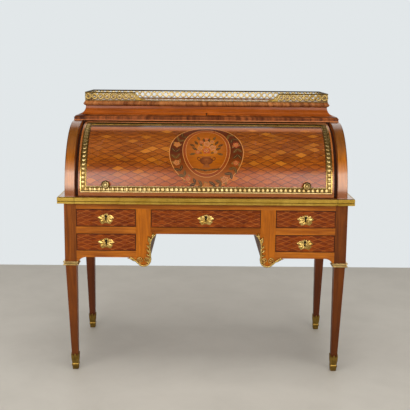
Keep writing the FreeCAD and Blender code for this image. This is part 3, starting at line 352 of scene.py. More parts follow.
# Metals: bright, warm and dirty tones, roughness, size, limits and strength of the dirt.
metalColumns = ("bright", "warm", "dark", "rough", "scale", "low", "high", "soil")
metalUsual = {"broad": 0.22, "toneLimits": (0.35, 0.7), "rub": 0.25, "bump": 0.15}
metalRows = {
    "giltBronze": ((212, 180, 108), (178, 140, 68), (62, 42, 16), 0.26, 160.0, 0.52, 0.78, 0.75),
    "darkGilt": ((156, 126, 60), (122, 94, 40), (48, 34, 12), 0.32, 230.0, 0.48, 0.84, 0.5),
    "linedBrass": ((190, 157, 71), (160, 125, 45), (92, 72, 24), 0.3, 46.0, 0.5, 0.8, 0.6),
    "galleryGilt": ((208, 188, 138), (172, 146, 92), (64, 46, 18), 0.38, 150.0, 0.54, 0.8, 0.7),
    "paleGilt": ((240, 214, 152), (212, 178, 112), (84, 62, 28), 0.3, 150.0, 0.6, 0.84, 0.55),
    # a paler copy for the back rings of the gallery, as a painted reflection
    "creamGilt": ((228, 210, 162), (198, 174, 120), (112, 90, 48), 0.42, 150.0, 0.56, 0.84, 0.55),
    "railGilt": ((112, 90, 46), (88, 68, 32), (40, 28, 12), 0.46, 230.0, 0.48, 0.84, 0.5),
    "bedGilt": ((204, 170, 98), (176, 138, 72), (84, 62, 26), 0.44, 150.0, 0.56, 0.86, 0.4),
    "leafGilt": ((236, 208, 146), (210, 174, 108), (84, 62, 28), 0.34, 150.0, 0.6, 0.84, 0.55),
    # a darker copy for the returns of the gallery, as painted shade
    "returnGilt": ((178, 154, 102), (144, 118, 68), (56, 40, 16), 0.36, 150.0, 0.52, 0.8, 0.7),
    "darkSteel": ((150, 146, 138), (120, 114, 104), (56, 46, 36), 0.4, 90.0, 0.48, 0.7, 0.7),
}
brassLine = {
    "z": 0.749, "zFade": (0.0011, 0.00286, 0.4, 0.0),
    "seamX": 0.5485, "seamFade": (0.0008, 0.0016, 0.85, 0.0),
}
for finishName, row in metalRows.items():
    grooved = brassLine if finishName == "linedBrass" else None
    finishes[finishName] = giltMetal(finishName, {**metalUsual, **dict(zip(metalColumns, row))}, grooved)


fallLook = {  # trellis on the cylinder: lozenges outlined in dark lines, plain bands round them
    "width": 0.057, "height": 0.0265, "line": 0.068, "wobble": 0.01, "rough": 0.22, "coat": 0.8,
    "coatRough": 0.22, "bandFade": (-0.0002, 0.0002, 1.0, 0.0),
    "dark": (106, 44, 2), "light": (170, 88, 8), "deep": (76, 30, 2), "string": (56, 24, 8),
    "warm": (176, 96, 10), "band": (146, 80, 26), "bandPale": (168, 96, 36), "glow": (206, 124, 24),
    "paintedSheen": (196, 84, 38), "crest": (210, 122, 62), "fieldX": 0.501, "fieldLow": 0.03, "fieldHigh": 0.37,
    "tintShare": 0.5, "warmShare": 0.3, "lineShare": 0.76, "edgeFade": (0.001, 0.0018, 0.85, 0.0),
    "stretch": (16.0, 190.0, 1.0), "seed": 3.0, "wear": (11.0, 0.4, 0.75), "rub": 0.12,
    "bump": (0.12, 0.0003),
    # limits up the curve and shares at them: painted shade high up, a painted pink sheen low down, a painted
    # highlight on the crest, a painted shadow line over it
    "fade": (0.2, 0.36, 0.0, 0.5), "paintedSheenFade": (0.05, 0.14, 0.32, 0.0),
    "crestHighlightRise": (0.304, 0.32, 0.0, 0.42), "shadeRise": (0.341, 0.347, 0.0, 0.95),
    "glowTint": (0.8, 1.0, 0.0, 0.6),
}


def fallFinish(look):
    material, tree, sockets = newFinish("fallTrellis", look["rough"], look["coat"])
    sockets["Coat Roughness"].default_value = look["coatRough"]
    uv = newNode(tree, "ShaderNodeUVMap").outputs[0]
    along, across = axes(tree, uv)[:2]
    trellis = laidTrellis(tree, along, across, look)
    grain = useGroup(tree, grainGroup, Vector=uv, Stretch=look["stretch"], Seed=look["seed"])
    colour = mixed(tree, grain["Figure"], look["dark"], look["light"])
    tint = calc(tree, "MULTIPLY", trellis["Tint"], look["tintShare"])
    drift = calc(tree, "MULTIPLY", grain["Patch"], look["warmShare"])
    lines = calc(tree, "MULTIPLY", trellis["Lines"], look["lineShare"])
    # random tints, painted shade high up, brighter lozenges at random, a painted pink sheen low down, the
    # lines, a painted highlight on the crest and a painted shadow line over it
    for share, layer in (
        (tint, "deep"), (drift, "warm"), (step(tree, across, *look["fade"]), "deep"),
        (step(tree, trellis["Tint"], *look["glowTint"]), "glow"),
        (step(tree, across, *look["paintedSheenFade"]), "paintedSheen"), (lines, "string"),
        (step(tree, across, *look["crestHighlightRise"]), "crest"), (step(tree, across, *look["shadeRise"]), "string"),
    ):
        colour = mixed(tree, share, colour, look[layer])
    middle = (look["fieldLow"] + look["fieldHigh"]) / 2
    reach = (look["fieldHigh"] - look["fieldLow"]) / 2
    inside = insideBy(tree, (along, look["fieldX"]), (calc(tree, "SUBTRACT", across, middle), reach))
    band = mixed(tree, grain["Figure"], look["band"], look["bandPale"])
    colour = mixed(tree, step(tree, inside, *look["bandFade"]), colour, band)
    edge = step(tree, calc(tree, "ABSOLUTE", inside), *look["edgeFade"])
    colour = mixed(tree, edge, colour, look["string"])
    relief = calc(tree, "ADD", trellis["Lines"], grain["Pores"])
    surfaced(tree, sockets, colour, worn(tree, objectCoords(tree), *look["wear"]), look["rub"], look["rough"],
             relief, *look["bump"])
    return material


def boxMiddle(name):
    low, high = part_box(name)
    return (low + high) / 2, (high - low) / 2


drawerLook = {  # darker trellis of the drawer fronts, in pale lines that waver
    "width": 0.053, "height": 0.0205, "line": 0.07, "wobble": 0.004, "key": (0.0056, 0.0122),
    "keyRise": 0.0052, "rough": 0.26, "tintShare": 0.5, "edgeFade": (0.0022, 0.00286, 0.9, 0.0),
    "stretch": (18.0, 160.0, 200.0), "wear": (26.0, 0.36, 0.62), "lineShare": (0.42, 0.3), "rub": 0.12,
    "keyShadeFade": (0.9, 1.3, 1.0, 0.0), "bump": 0.12, "coat": 0.05, "seedSpread": 9,
    "dark": (90, 28, 0), "light": (162, 74, 6), "deep": (76, 22, 0), "string": (180, 102, 38),
    # edge is a painted shadow line round the front; hole is painted shade behind the keyhole
    "edge": (58, 22, 6), "hole": (14, 8, 5),
}


def drawerFinish(name, look):
    material, tree, sockets = newFinish(f"{name}Trellis", look["rough"], look["coat"])
    middle, half = boxMiddle(f"{name}_front")
    vector = objectCoords(tree, -middle)
    place = axes(tree, vector)
    along, across = place[0], place[2]
    trellis = laidTrellis(tree, along, across, look)
    seed = middle.x * look["seedSpread"] + middle.z
    grain = useGroup(tree, grainGroup, Vector=vector, Stretch=look["stretch"], Seed=seed)
    colour = mixed(tree, grain["Figure"], look["dark"], look["light"])
    tint = calc(tree, "MULTIPLY", trellis["Tint"], look["tintShare"])
    colour = mixed(tree, tint, colour, look["deep"])
    fade = worn(tree, vector, *look["wear"])
    lines = calc(tree, "MULTIPLY", trellis["Lines"], calc(tree, "MULTIPLY_ADD", fade, *look["lineShare"]))
    colour = mixed(tree, lines, colour, look["string"])
    # a dark line round the edges of the front, as a painted shadow line at the gap
    inside = insideBy(tree, (along, half.x), (across, half.z))
    colour = mixed(tree, step(tree, inside, *look["edgeFade"]), colour, look["edge"])
    # painted shade behind the keyhole, a dark oval on the front
    rise = boxMiddle(f"{name}_escutcheon")[0].z - middle.z + look["keyRise"]  # dark behind the keyhole
    wide = calc(tree, "DIVIDE", along, look["key"][0])
    tall = calc(tree, "DIVIDE", calc(tree, "SUBTRACT", across, rise), look["key"][1])
    around = calc(tree, "ADD", calc(tree, "MULTIPLY", wide, wide), calc(tree, "MULTIPLY", tall, tall))
    colour = mixed(tree, step(tree, around, *look["keyShadeFade"]), colour, look["hole"])
    surfaced(tree, sockets, colour, fade, look["rub"], look["rough"], grain["Pores"], look["bump"])
    return material


inlayLook = {
    "grainShare": 0.3, "poreShare": 0.3, "rough": 0.26, "dim": (150, 118, 96),
    "stretch": (24.0, 190.0, 190.0), "seed": 8.0, "rub": 0.1, "bump": 0.1, "coat": 0.7,
}


def inlayFinish(look):
    # stained and shaded woods of the medallion, coloured piece by piece
    material, tree, sockets = newFinish("inlaidWoods", look["rough"], look["coat"])
    tint = newNode(tree, "ShaderNodeVertexColor", layer_name="tint").outputs["Color"]
    vector = objectCoords(tree)
    grain = useGroup(tree, grainGroup, Vector=vector, Stretch=look["stretch"], Seed=look["seed"])
    dim = mixed(tree, 1.0, tint, look["dim"], "MULTIPLY")
    colour = tint
    for part, share in (("Figure", "grainShare"), ("Pores", "poreShare")):
        colour = mixed(tree, calc(tree, "MULTIPLY", grain[part], look[share]), colour, dim)
    surfaced(tree, sockets, colour, grain["Patch"], look["rub"], look["rough"], grain["Pores"], look["bump"])
    return material


leatherLook = {
    "dark": (58, 26, 16), "light": (96, 44, 26), "gold": (178, 138, 64), "lines": (0.02, 0.026),
    "lineFade": (0.0006, 0.0012, 0.85, 0.0), "rough": 0.54, "cells": 520.0, "wear": (8.0, 0.36, 0.7),
    "cellEdge": (0.0, 0.25), "rub": -0.12, "bump": (0.35, 0.0005),
}


def leatherFinish(look):
    material, tree, sockets = newFinish("writingLeather", look["rough"])
    middle, half = boxMiddle("slide_leather")
    vector = objectCoords(tree, -middle)
    inputs = {"Vector": vector, "Scale": look["cells"]}
    cells = wired(tree, "ShaderNodeTexVoronoi", inputs, feature="DISTANCE_TO_EDGE")
    rub = worn(tree, vector, *look["wear"])
    colour = mixed(tree, rub, look["dark"], look["light"])
    along, across = axes(tree, vector)[:2]
    inside = insideBy(tree, (along, half.x), (across, half.y))
    for place in look["lines"]:  # gilt lines tooled round the margin
        gap = gapFrom(tree, inside, place)
        colour = mixed(tree, step(tree, gap, *look["lineFade"]), colour, look["gold"])
    relief = step(tree, cells["Distance"], *look["cellEdge"])
    surfaced(tree, sockets, colour, rub, look["rub"], look["rough"], relief, *look["bump"])
    return material


finishes["fallTrellis"] = fallFinish(fallLook)
finishes["inlaidWoods"] = inlayFinish(inlayLook)
finishes["writingLeather"] = leatherFinish(leatherLook)
for drawerName in drawerNames:
    finishes[drawerName] = drawerFinish(drawerName, drawerLook)
print("finishes made:", len(finishes))


nodeFinishes = {
    "railVeneer": ["front_top_rail", "mid_rails", "bottom_rails"],
    "shadedKneeVeneer": ["kneehole_rail"],
    "stileVeneer": ["kneehole_stiles"],
    "legVeneer": ["leg_front_left"],
    "shadedRightLegVeneer": ["leg_front_right"],
    "shadedRearLegVeneer": ["leg_rear_left", "leg_rear_right"],
    "sideVeneer": ["side_panel_left", "side_panel_right"],
    "tableVeneer": ["table_frame", "slide_board"],
    "topVeneer": ["top_board"],
    "backOak": ["back_panel", "upper_back", "kneehole_panels"],
    "plainOak": ["dust_boards"],
    "depthOak": ["slide_bearers", "inner_drawer_left_box", "inner_drawer_right_box", "cylinder_arms"]
    + [f"{name}_box" for name in drawerNames],
    "nestVeneer": ["nest_case"],
    "linedBrass": ["table_edge", "slide_edge"],
    "darkSteel": ["pivot_pins", "cylinder_lock"] + [f"{name}_lock" for name in drawerNames],
    "writingLeather": ["slide_leather"],
}
nodeFinishes.update({name: [f"{name}_front"] for name in drawerNames})
softEdge = {  # the table and its brass keep their square edges
    "width": 0.0007, "segments": 2, "angle": 40.0, "weld": 0.00002,
    "square": ("table_frame", "table_edge", "slide_edge"),
}
for finishName, members in nodeFinishes.items():
    for member in members:
        node = nodes[member]
        node.data.materials.clear()
        node.data.materials.append(finishes[finishName])
        node.modifiers.new("joined", "WELD").merge_threshold = softEdge["weld"]
        if member in softEdge["square"]:
            continue
        bevel = node.modifiers.new("softEdges", "BEVEL")
        bevel.width = softEdge["width"]
        bevel.segments = softEdge["segments"]
        bevel.limit_method = "ANGLE"
        bevel.angle_limit = radians(softEdge["angle"])
        bevel.use_clamp_overlap = True
print("nodes finished")

meshGap = 0.000004  # points nearer than this are one


def newMesh(name, points, edges, faces):
    mesh = bpy.data.meshes.new(name)
    mesh.from_pydata([tuple(point) for point in points], edges, faces)
    return mesh


def newObject(name, data):
    item = bpy.data.objects.new(name, data)
    bpy.context.scene.collection.objects.link(item)
    return item


def cleaned(mesh, dissolve=True):
    # doubles joined, and faces turned outward
    work = bmesh.new()
    work.from_mesh(mesh)
    bmesh.ops.remove_doubles(work, verts=work.verts, dist=meshGap)
    if dissolve:
        bmesh.ops.dissolve_degenerate(work, edges=work.edges, dist=meshGap)
    bmesh.ops.recalc_face_normals(work, faces=work.faces)
    work.to_mesh(mesh)
    work.free()


def addPiece(name, form, finish, body, stands=(), slot=None, uvs=None, kinds=None, sharp=38.0, tints=None):
    # a form of points and faces that rides on a body; finish may be several, chosen face by face in kinds
    mesh = newMesh(name, form[0], [], form[1])
    for material in finish if isinstance(finish, list) else [finish]:
        mesh.materials.append(finishes[material])
    if kinds:
        for polygon, kind in zip(mesh.polygons, kinds):
            polygon.material_index = kind
    if uvs:
        layer = mesh.uv_layers.new(name="UVMap")
        for polygon, corners in zip(mesh.polygons, uvs):
            for loop, corner in zip(polygon.loop_indices, corners):
                layer.data[loop].uv = corner
    if tints:
        layer = mesh.color_attributes.new("tint", "FLOAT_COLOR", "POINT")
        for number, tint in enumerate(tints):
            layer.data[number].color = tint
    cleaned(mesh)
    settle(name, mesh, body, stands, slot, sharp)


def markHollows(mesh, depth=2.2):
    # how far each point lies in a hollow of its casting, where dirt stays
    work = bmesh.new()
    work.from_mesh(mesh)
    work.verts.ensure_lookup_table()
    work.normal_update()
    around = [[edge.other_vert(vert) for edge in vert.link_edges] for vert in work.verts]
    values, spread = [], []
    for vert, others in zip(work.verts, around):
        ways = [other.co - vert.co for other in others]
        rises = [way.normalized().dot(vert.normal) for way in ways if way.length > 1e-7]
        values.append(min(max(sum(rises) / max(len(rises), 1) * depth, 0.0), 1.0))
    for value, others in zip(values, around):
        spread.append(0.5 * value + 0.5 * sum(values[other.index] for other in others) / max(len(others), 1))
    work.free()
    layer = mesh.attributes.new("hollow", "FLOAT", "POINT")
    for number, value in enumerate(spread):
        layer.data[number].value = value


def settle(name, mesh, body, stands=(), slot=None, sharp=38.0):
    if slot == "gilt_bronze":
        markHollows(mesh)
    mesh.shade_smooth()
    mesh.set_sharp_from_angle(angle=radians(sharp))
    piece = newObject(name, mesh)
    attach(piece, body)
    if stands:
        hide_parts(*stands)


def joined(parts):
    # several forms as one
    points, faces = [], []
    for partPoints, partFaces in parts:
        start = len(points)
        points += [Vector(point) for point in partPoints]
        faces += [tuple(start + number for number in face) for face in partFaces]
    return points, faces


def moved(part, place):
    return [place(*point) for point in part[0]], part[1]


def fullTurn(count, shift=0.0):
    # angles at equal steps all the way round
    return [2 * pi * (number + shift) / count for number in range(count)]


def polar(reach, turn):
    return reach * cos(turn), reach * sin(turn)


def turned(x, y, turn):
    return x * cos(turn) - y * sin(turn), x * sin(turn) + y * cos(turn)


def between(first, second, share):
    return tuple(start + (end - start) * share for start, end in zip(first, second))


def bell(value, middle, width):
    return exp(-((value - middle) / width) ** 2)


def gridFaces(rows, columns, roundRows=False, roundColumns=True, flip=False, start=0):
    # four-sided faces over rows of points; rows and columns may close into rings
    faces = []
    for row in range(rows if roundRows else rows - 1):
        after = (row + 1) % rows
        for column in range(columns if roundColumns else columns - 1):
            side = (column + 1) % columns
            quad = [(row, column), (row, side), (after, side), (after, column)]
            if flip:
                quad = quad[:1] + quad[:0:-1]
            faces.append(tuple(start + level * columns + place for level, place in quad))
    return faces


def endFaces(rows, columns):
    return [tuple(row * columns + column for column in range(columns)) for row in (0, rows - 1)]


def capped(rows, columns):
    return gridFaces(rows, columns) + endFaces(rows, columns)


def reliefSlab(rows, base, ring=False):
    # a grid of (x, y, height) closed below at the base height; a ring joins its last column to its first
    size, columns = len(rows), len(rows[0])
    tops = [tuple(point) for row in rows for point in row]
    lows = [(x, y, base) for x, y, _ in tops]
    count = len(tops)
    quads = gridFaces(size, columns, roundColumns=ring)
    faces = quads + [tuple(count + number for number in reversed(quad)) for quad in quads]
    rims = [list(rim) for rim in endFaces(size, columns)]
    if ring:
        rims = [rim + rim[:1] for rim in rims]
    else:
        rims += [[row * columns + column for row in range(size)] for column in (0, columns - 1)]
    for rim in rims:
        faces += [(first, second, count + second, count + first) for first, second in zip(rim, rim[1:])]
    return tops + lows, faces


def turnedForm(profile, segments=40, lobes=None):
    # a round form from (radius, height) pairs; lobes gives a change of radius by row share and angle
    points = []
    last = len(profile) - 1
    for row, (radius, height) in enumerate(profile):
        for turn in fullTurn(segments):
            reach = radius + (lobes(row / last, turn) * radius if lobes else 0.0)
            points.append((*polar(reach, turn), height))
    return points, capped(len(profile), segments)


def lengths(places):
    # the way run at each place of a loop, and at the first one again
    ways = [0.0]
    for before, after in zip(places, places[1:] + places[:1]):
        ways.append(ways[-1] + dist(before, after))
    return ways


def sweep(profile, stations, closed=False, place=lambda x, y, z: Vector((x, y, z))):
    # a closed profile of (inset, height) along stations of (point, inset direction), with mitred corners
    rows, count = len(stations), len(profile)
    points = []
    for base, inset in stations:
        for depth, height in profile:
            points.append(place(base[0] + inset[0] * depth, base[1] + inset[1] * depth, height))
    faces = gridFaces(rows, count, closed, flip=True)
    runs, girth = lengths([base for base, inset in stations]), lengths(profile)
    pairs = list(zip(runs, runs[1:]))[:rows if closed else rows - 1]
    uvs = [((near, low), (far, low), (far, high), (near, high))
           for near, far in pairs for low, high in zip(girth, girth[1:])]
    if not closed:
        faces += endFaces(rows, count)
        uvs += [tuple(profile)] * 2
    return points, faces, uvs


def tube(path, radii, sides=10, flat=1.0):
    # a bar of changing thickness along points in the XZ plane; flat squeezes it from front to back
    points = []
    last = len(path) - 1
    for number, (point, reach) in enumerate(zip(path, radii)):
        along = (Vector(path[min(number + 1, last)]) - Vector(path[max(number - 1, 0)])).normalized()
        side = Vector((along.z, 0.0, -along.x))
        for turn in fullTurn(sides):
            offset = side * (cos(turn) * reach) + Vector((0.0, sin(turn) * reach * flat, 0.0))
            points.append(Vector(point) + offset)
    return points, capped(len(path), sides)


def smoothPath(corners, steps=8):
    # points on a curve that passes through every corner
    ends = [corners[0]] + list(corners) + [corners[-1]]
    path = []
    for number in range(1, len(ends) - 2):
        first, second, third, fourth = (Vector(ends[number + shift]) for shift in (-1, 0, 1, 2))
        for part in range(steps):
            share = part / steps
            path.append(0.5 * (2 * second + (third - first) * share
                               + (2 * first - 5 * second + 4 * third - fourth) * share ** 2
                               + (3 * second - first - 3 * third + fourth) * share ** 3))
    path.append(Vector(corners[-1]))
    return path


def wrap(along, across, lift):
    # a point on the cylinder: along its length, up its curve from the front, and off its face
    turn = across / desk["shellOut"]
    reach = desk["shellOut"] + lift
    return Vector((along, desk["axisY"] - reach * cos(turn), desk["axisZ"] + reach * sin(turn)))


leafShape = {  # shares of a cast leaf's width and height
    "stem": 0.42, "swell": (0.9, 0.16), "taper": 3.2, "least": 0.02, "groove": (0.28, 5), "edge": 0.22,
    "crown": 1.8, "fall": 0.5, "sunk": -0.0004,
}


def leafForm(length, width, height, rows=7, columns=7, curl=0.0):
    # a leaf from its stem at the origin to its tip along +y, with a rib and a raised middle
    look = leafShape
    stem, edge = look["stem"], look["edge"]
    swellRate, swellStart = look["swell"]
    grooveDepth, grooveRate = look["groove"]
    grid = []
    for row in range(rows):
        share = row / (rows - 1)
        swell = stem + (1 - stem) * sin(pi * min(share * swellRate + swellStart, 1.0))
        half = width / 2 * swell * (1 - share ** look["taper"])
        line = []
        for column in range(columns):
            side = 2 * column / (columns - 1) - 1
            rib = 1 - grooveDepth * max(0.0, 1 - abs(side) * grooveRate)
            crown = edge + (1 - edge) * (1 - abs(side) ** look["crown"])
            top = height * crown * (1 - look["fall"] * share ** 2) * rib
            line.append((side * max(half, width * look["least"]) + curl * share ** 2, share * length, top))
        grid.append(line)
    return reliefSlab(grid, look["sunk"])


fallShell = {"start": -2.2, "end": 97.0, "step": 1.6}  # degrees up the curve


def makeFall(look):
    # the turning front: veneered outside, plain at the ends and inside
    spread = look["end"] - look["start"]
    count = int(spread / look["step"])
    turns = [radians(look["start"] + spread * row / count) for row in range(count + 1)]
    loop = [(desk["shellOut"] * turn, 0.0) for turn in turns]
    loop += [(across, desk["shellIn"] - desk["shellOut"]) for across, lift in reversed(loop)]
    size = len(loop)
    ends = (-desk["shellEnd"], desk["shellEnd"])
    points = [wrap(end, across, lift) for end in ends for across, lift in loop]
    faces = gridFaces(2, size, flip=True)
    for end in (0, 1):
        for number in range(count):
            other = size - 1 - number
            faces.append(tuple(end * size + spot for spot in (number, number + 1, other - 1, other)))
    uvs = [[(ends[spot // size], loop[spot % size][0]) for spot in face] for face in faces]
    kinds = [0] * count + [1] * (len(faces) - count)
    addPiece("fallShell", (points, faces), ["fallTrellis", "edgeVeneer"], "cylinder", ["cylinder_shell"],
             "parquetry", uvs, kinds)


makeFall(fallShell)

borderLook = {  # gilt frame on the cylinder: fillet outside, bead inside, leaf tips between; a bead above it
    "endX": 0.5275, "low": 0.9, "high": 82.0, "steps": 40, "pitch": 0.019, "bed": (4, 5, 6),
    "bedRise": 0.0012,
    "profile": [(0.0, -0.0005), (0.0, 0.003), (0.0009, 0.0041), (0.005, 0.0043), (0.0062, 0.0032),
                (0.0068, 0.0014), (0.0238, 0.0012), (0.0244, 0.0025), (0.0258, 0.0025), (0.0265, -0.0005)],
    "leafStart": 0.008, "leaf": (0.015, 0.015, 0.003), "dart": (0.0126, 0.0046, 0.0024, 5, 5),
    "beadGap": 0.0015,
    "bead": [(0.0, -0.0005), (0.0, 0.0028), (0.0012, 0.004), (0.011, 0.004), (0.0122, -0.0005)],
}


def rowTree(name):
    # copies of a casting at equal steps along the runs of a path, its back turned to the middle line
    tree = bpy.data.node_groups.new(name, "GeometryNodeTree")
    sockets = {}
    for label, kind in (("Path", "Geometry"), ("Casting", "Object"), ("Pitch", "Float"), ("Middle", "Vector"),
                        ("Spread", "Vector"), ("Up", "Vector"), ("Metal", "Material")):
        socket = tree.interface.new_socket(label, in_out="INPUT", socket_type=f"NodeSocket{kind}")
        sockets[label] = socket.identifier
    tree.interface.new_socket("Row", in_out="OUTPUT", socket_type="NodeSocketGeometry")
    given = newNode(tree, "NodeGroupInput").outputs
    curve = wired(tree, "GeometryNodeMeshToCurve", {0: given["Path"]})
    steps = {"Curve": curve[0], "Length": given["Pitch"]}
    marks = wired(tree, "GeometryNodeCurveToPoints", steps, mode="LENGTH")
    outward = newNode(tree, "GeometryNodeInputPosition").outputs[0]
    for operation, label in (("SUBTRACT", "Middle"), ("MULTIPLY", "Spread"), ("ADD", "Up")):
        outward = vectorCalc(tree, operation, outward, given[label])
    ways = {0: outward, 1: marks["Tangent"]}
    facing = wired(tree, "FunctionNodeAxesToRotation", ways, primary_axis="Z", secondary_axis="X")
    casting = wired(tree, "GeometryNodeObjectInfo", {"Object": given["Casting"]})
    copies = wired(tree, "GeometryNodeInstanceOnPoints", {
        "Points": marks["Points"], "Instance": casting["Geometry"], "Rotation": facing[0]})
    real = wired(tree, "GeometryNodeRealizeInstances", {0: copies[0]})
    metal = wired(tree, "GeometryNodeSetMaterial", {"Geometry": real[0], "Material": given["Metal"]})
    wired(tree, "NodeGroupOutput", {0: metal[0]})
    return tree, sockets


castingRow, castingSockets = rowTree("castingRow")


def castRow(name, casting, runs, pitch, finish, body, middle=(0, 0, 0), spread=(0, 0, 0), up=(0, 0, 0)):
    # runs are lists of points along which the copies of a casting stand
    points, edges = [], []
    for run in runs:
        start = len(points)
        points += run
        edges += [(number, number + 1) for number in range(start, len(points) - 1)]
    holder = newObject(f"{name}Path", newMesh(f"{name}Path", points, edges, []))
    castMesh = newMesh(f"{name}Casting", casting[0], [], casting[1])
    cleaned(castMesh, False)
    castMesh.shade_smooth()
    model = newObject(f"{name}Casting", castMesh)
    modifier = holder.modifiers.new("row", "NODES")
    modifier.node_group = castingRow
    for label, value in (("Casting", model), ("Pitch", pitch), ("Middle", middle), ("Spread", spread),
                         ("Up", up), ("Metal", finishes[finish])):
        modifier[castingSockets[label]] = value
    bpy.context.view_layer.update()
    shown = holder.evaluated_get(bpy.context.evaluated_depsgraph_get())
    mesh = bpy.data.meshes.new_from_object(shown)
    mesh.name = name
    holder.modifiers.remove(modifier)
    for item in (holder, model):
        bpy.data.objects.remove(item)
    settle(name, mesh, body, slot="gilt_bronze")


def evenRow(start, finish, pitch, clear, steps=1, shift=0.0):
    # points of a run of whole steps between two corners that stay clear, both its ends alike
    length = dist(start, finish)
    count = floor((length - 2 * clear) / pitch)
    offset = (length - 2 * clear - count * pitch) / 2 + clear + shift * pitch
    reach = (count + 0.02 - shift) * pitch  # a little over, so that the last copy isn't lost
    return [between(start, finish, (offset + reach * number / steps) / length) for number in range(steps + 1)]


def makeBorder(look):
    low, high = (desk["shellOut"] * radians(look[name]) for name in ("low", "high"))
    end, steps = look["endX"], look["steps"]
    climb = [low + (high - low) * number / steps for number in range(1, steps)]
    stations = [((-end, low), (1, 1)), ((end, low), (-1, 1))]
    stations += [((end, across), (-1, 0)) for across in climb]
    stations += [((end, high), (-1, -1)), ((-end, high), (1, -1))]
    stations += [((-end, across), (1, 0)) for across in reversed(climb)]
    form = sweep(look["profile"], stations, True, wrap)
    kinds = []
    for number in range(len(form[1])):
        run, column = divmod(number, len(look["profile"]))
        lit = 3 if run == 0 else 0  # the fillet of the bottom run is paler, as a painted highlight, and all of the top run is darker, as painted shade
        kinds.append(2 if run == steps + 1 else 1 if column in look["bed"] else lit)
    addPiece("fallBorder", form, ["giltBronze", "bedGilt", "darkGilt", "paleGilt"], "cylinder",
             ["cylinder_border"], "gilt_bronze", kinds=kinds, sharp=30.0)
    # a pale bead above the border, brightened as a painted highlight
    stations = [((side * end, high + look["beadGap"]), (0, 1)) for side in (-1, 1)]
    form = sweep(look["bead"], stations, place=wrap)
    addPiece("fallTopBead", form, "paleEdge", "cylinder", slot="veneer", uvs=form[2])
    inset = look["leafStart"]
    left, right, bottom, top = -end + inset, end - inset, low + inset, high - inset
    corners = [(left, bottom), (right, bottom), (right, top), (left, top)]
    for name, sizes, shift in (("borderLeaves", look["leaf"], 0.0), ("borderDarts", look["dart"], 0.5)):
        runs = []
        for start, finish in zip(corners, corners[1:] + corners[:1]):
            row = evenRow(start, finish, look["pitch"], look["leaf"][0], steps, shift)
            runs.append([wrap(along, across, look["bedRise"]) for along, across in row])
        # the leaves of the top run are darker gilt, as painted shade
        for title, part, metal in ((name, runs[:2] + runs[3:], "leafGilt"),
                                   (f"{name}Top", runs[2:3], "railGilt")):
            castRow(title, leafForm(*sizes), part, look["pitch"], metal, "cylinder",
                    (0, desk["axisY"], desk["axisZ"]), (0, 1, 1))


makeBorder(borderLook)
print("fall and border made")


medallion = {  # an urn of flowers on a pale oval, inside a dark ring with a wreath
    "discS": 0.192, "discX": 0.101, "discY": 0.122, "ringS": 0.181, "ringX": 0.157, "ringY": 0.151,
    "satin": (186, 106, 6), "satinDeep": (154, 78, 2), "bandRed": (140, 62, 14), "string": (206, 140, 70),
    # the low tone of the ring's ground is lighter, a painted sheen toward the bottom
    "ground": (92, 36, 4), "groundSheenLow": (154, 80, 14), "leaf": (104, 72, 28), "leafDark": (66, 42, 18),
    "leafPale": (150, 106, 50), "rose": (186, 86, 38), "rosePale": (206, 132, 74), "amber": (200, 124, 40),
    "urn": (100, 48, 18), "urnPale": (150, 84, 34), "heart": (96, 40, 16),
    "skirt": 0.0003, "lift": 0.00012, "grain": 0.007, "seed": 7, "edge": 0.0028, "fade": 0.11,
    "wreath": 30, "wreathTop": 0.72, "wreathOut": (0.002, 0.006), "wreathDrop": 0.004, "wreathHalf": 0.009,
    "wreathLeaf": 0.012, "wreathTurn": 0.75, "wreathLong": (0.026, 0.034), "wreathBloom": (0.0125, 0.0165),
    "petals": 5, "petalDepth": (0.32, 0.3), "bloomInner": 0.62, "bloomTurn": 0.6, "bloomEye": 0.2,
    "vein": (0.86, 0.12), "ringHole": 0.5, "fieldLevel": (9, 200), "urnLevel": 13,
    # oval field: pale line, red band, pale line, satinwood
    "field": [(0.0, "string", None), (0.0022, "bandRed", None), (0.0135, "string", None),
              (0.0152, "satin", "satinDeep")],
}


class Inlay:
    # flat pieces of stained wood laid on the cylinder, each a little higher than the one under it
    def __init__(self, look):
        self.look, self.lift = look, look["lift"]
        self.dice = random.Random(look["seed"])
        self.points, self.faces, self.tints = [], [], []

    def lay(self, middle, outline, level, tint, shade=None, hole=0.0, paint=None):
        look = self.look
        size = max(hypot(x, y) for x, y in outline)
        rings = max(2, ceil(size * (1 - hole) / look["grain"]))
        start = len(self.points)
        for ring in range(rings + 1):
            share = hole + (1 - hole) * ring / rings
            for x, y in outline:
                self.points.append(wrap(middle[0] + x * share, middle[1] + y * share, level))
                change = paint(y * share) if paint else share
                self.tints.append(fromScreen(*between(look[tint], look[shade or tint], change)))
        for x, y in outline:  # a skirt that sinks the piece into the face
            self.points.append(wrap(middle[0] + x, middle[1] + y, -look["skirt"]))
            self.tints.append(fromScreen(*look[tint]))
        self.faces += gridFaces(rings + 2, len(outline), start=start)

    def blossom(self, spot, radius, tint, level):
        look, turn = self.look, self.dice.uniform(0, 2 * pi)
        outer, inner = look["petalDepth"]
        self.lay(spot, petalOutline(radius, look["petals"], outer, turn), level, "heart", tint)
        small = petalOutline(radius * look["bloomInner"], look["petals"], inner, turn + look["bloomTurn"])
        self.lay(spot, small, level + self.lift, "heart", "rosePale")
        eye = radius * look["bloomEye"]
        self.lay(spot, ovalOutline(eye, eye, 12), level + 2 * self.lift, "amber")

    def leaf(self, spot, length, width, turn, tint, level, bend=0.15):
        self.lay(spot, leafOutline(length, width, turn, bend), level, "leafDark", tint)
        along, across = self.look["vein"]
        vein = leafOutline(length * along, width * across, turn, bend)
        self.lay(spot, vein, level + self.lift, "leafPale")


def ovalOutline(wide, high, count=96):
    return [(wide * cos(turn), high * sin(turn)) for turn in fullTurn(count)]


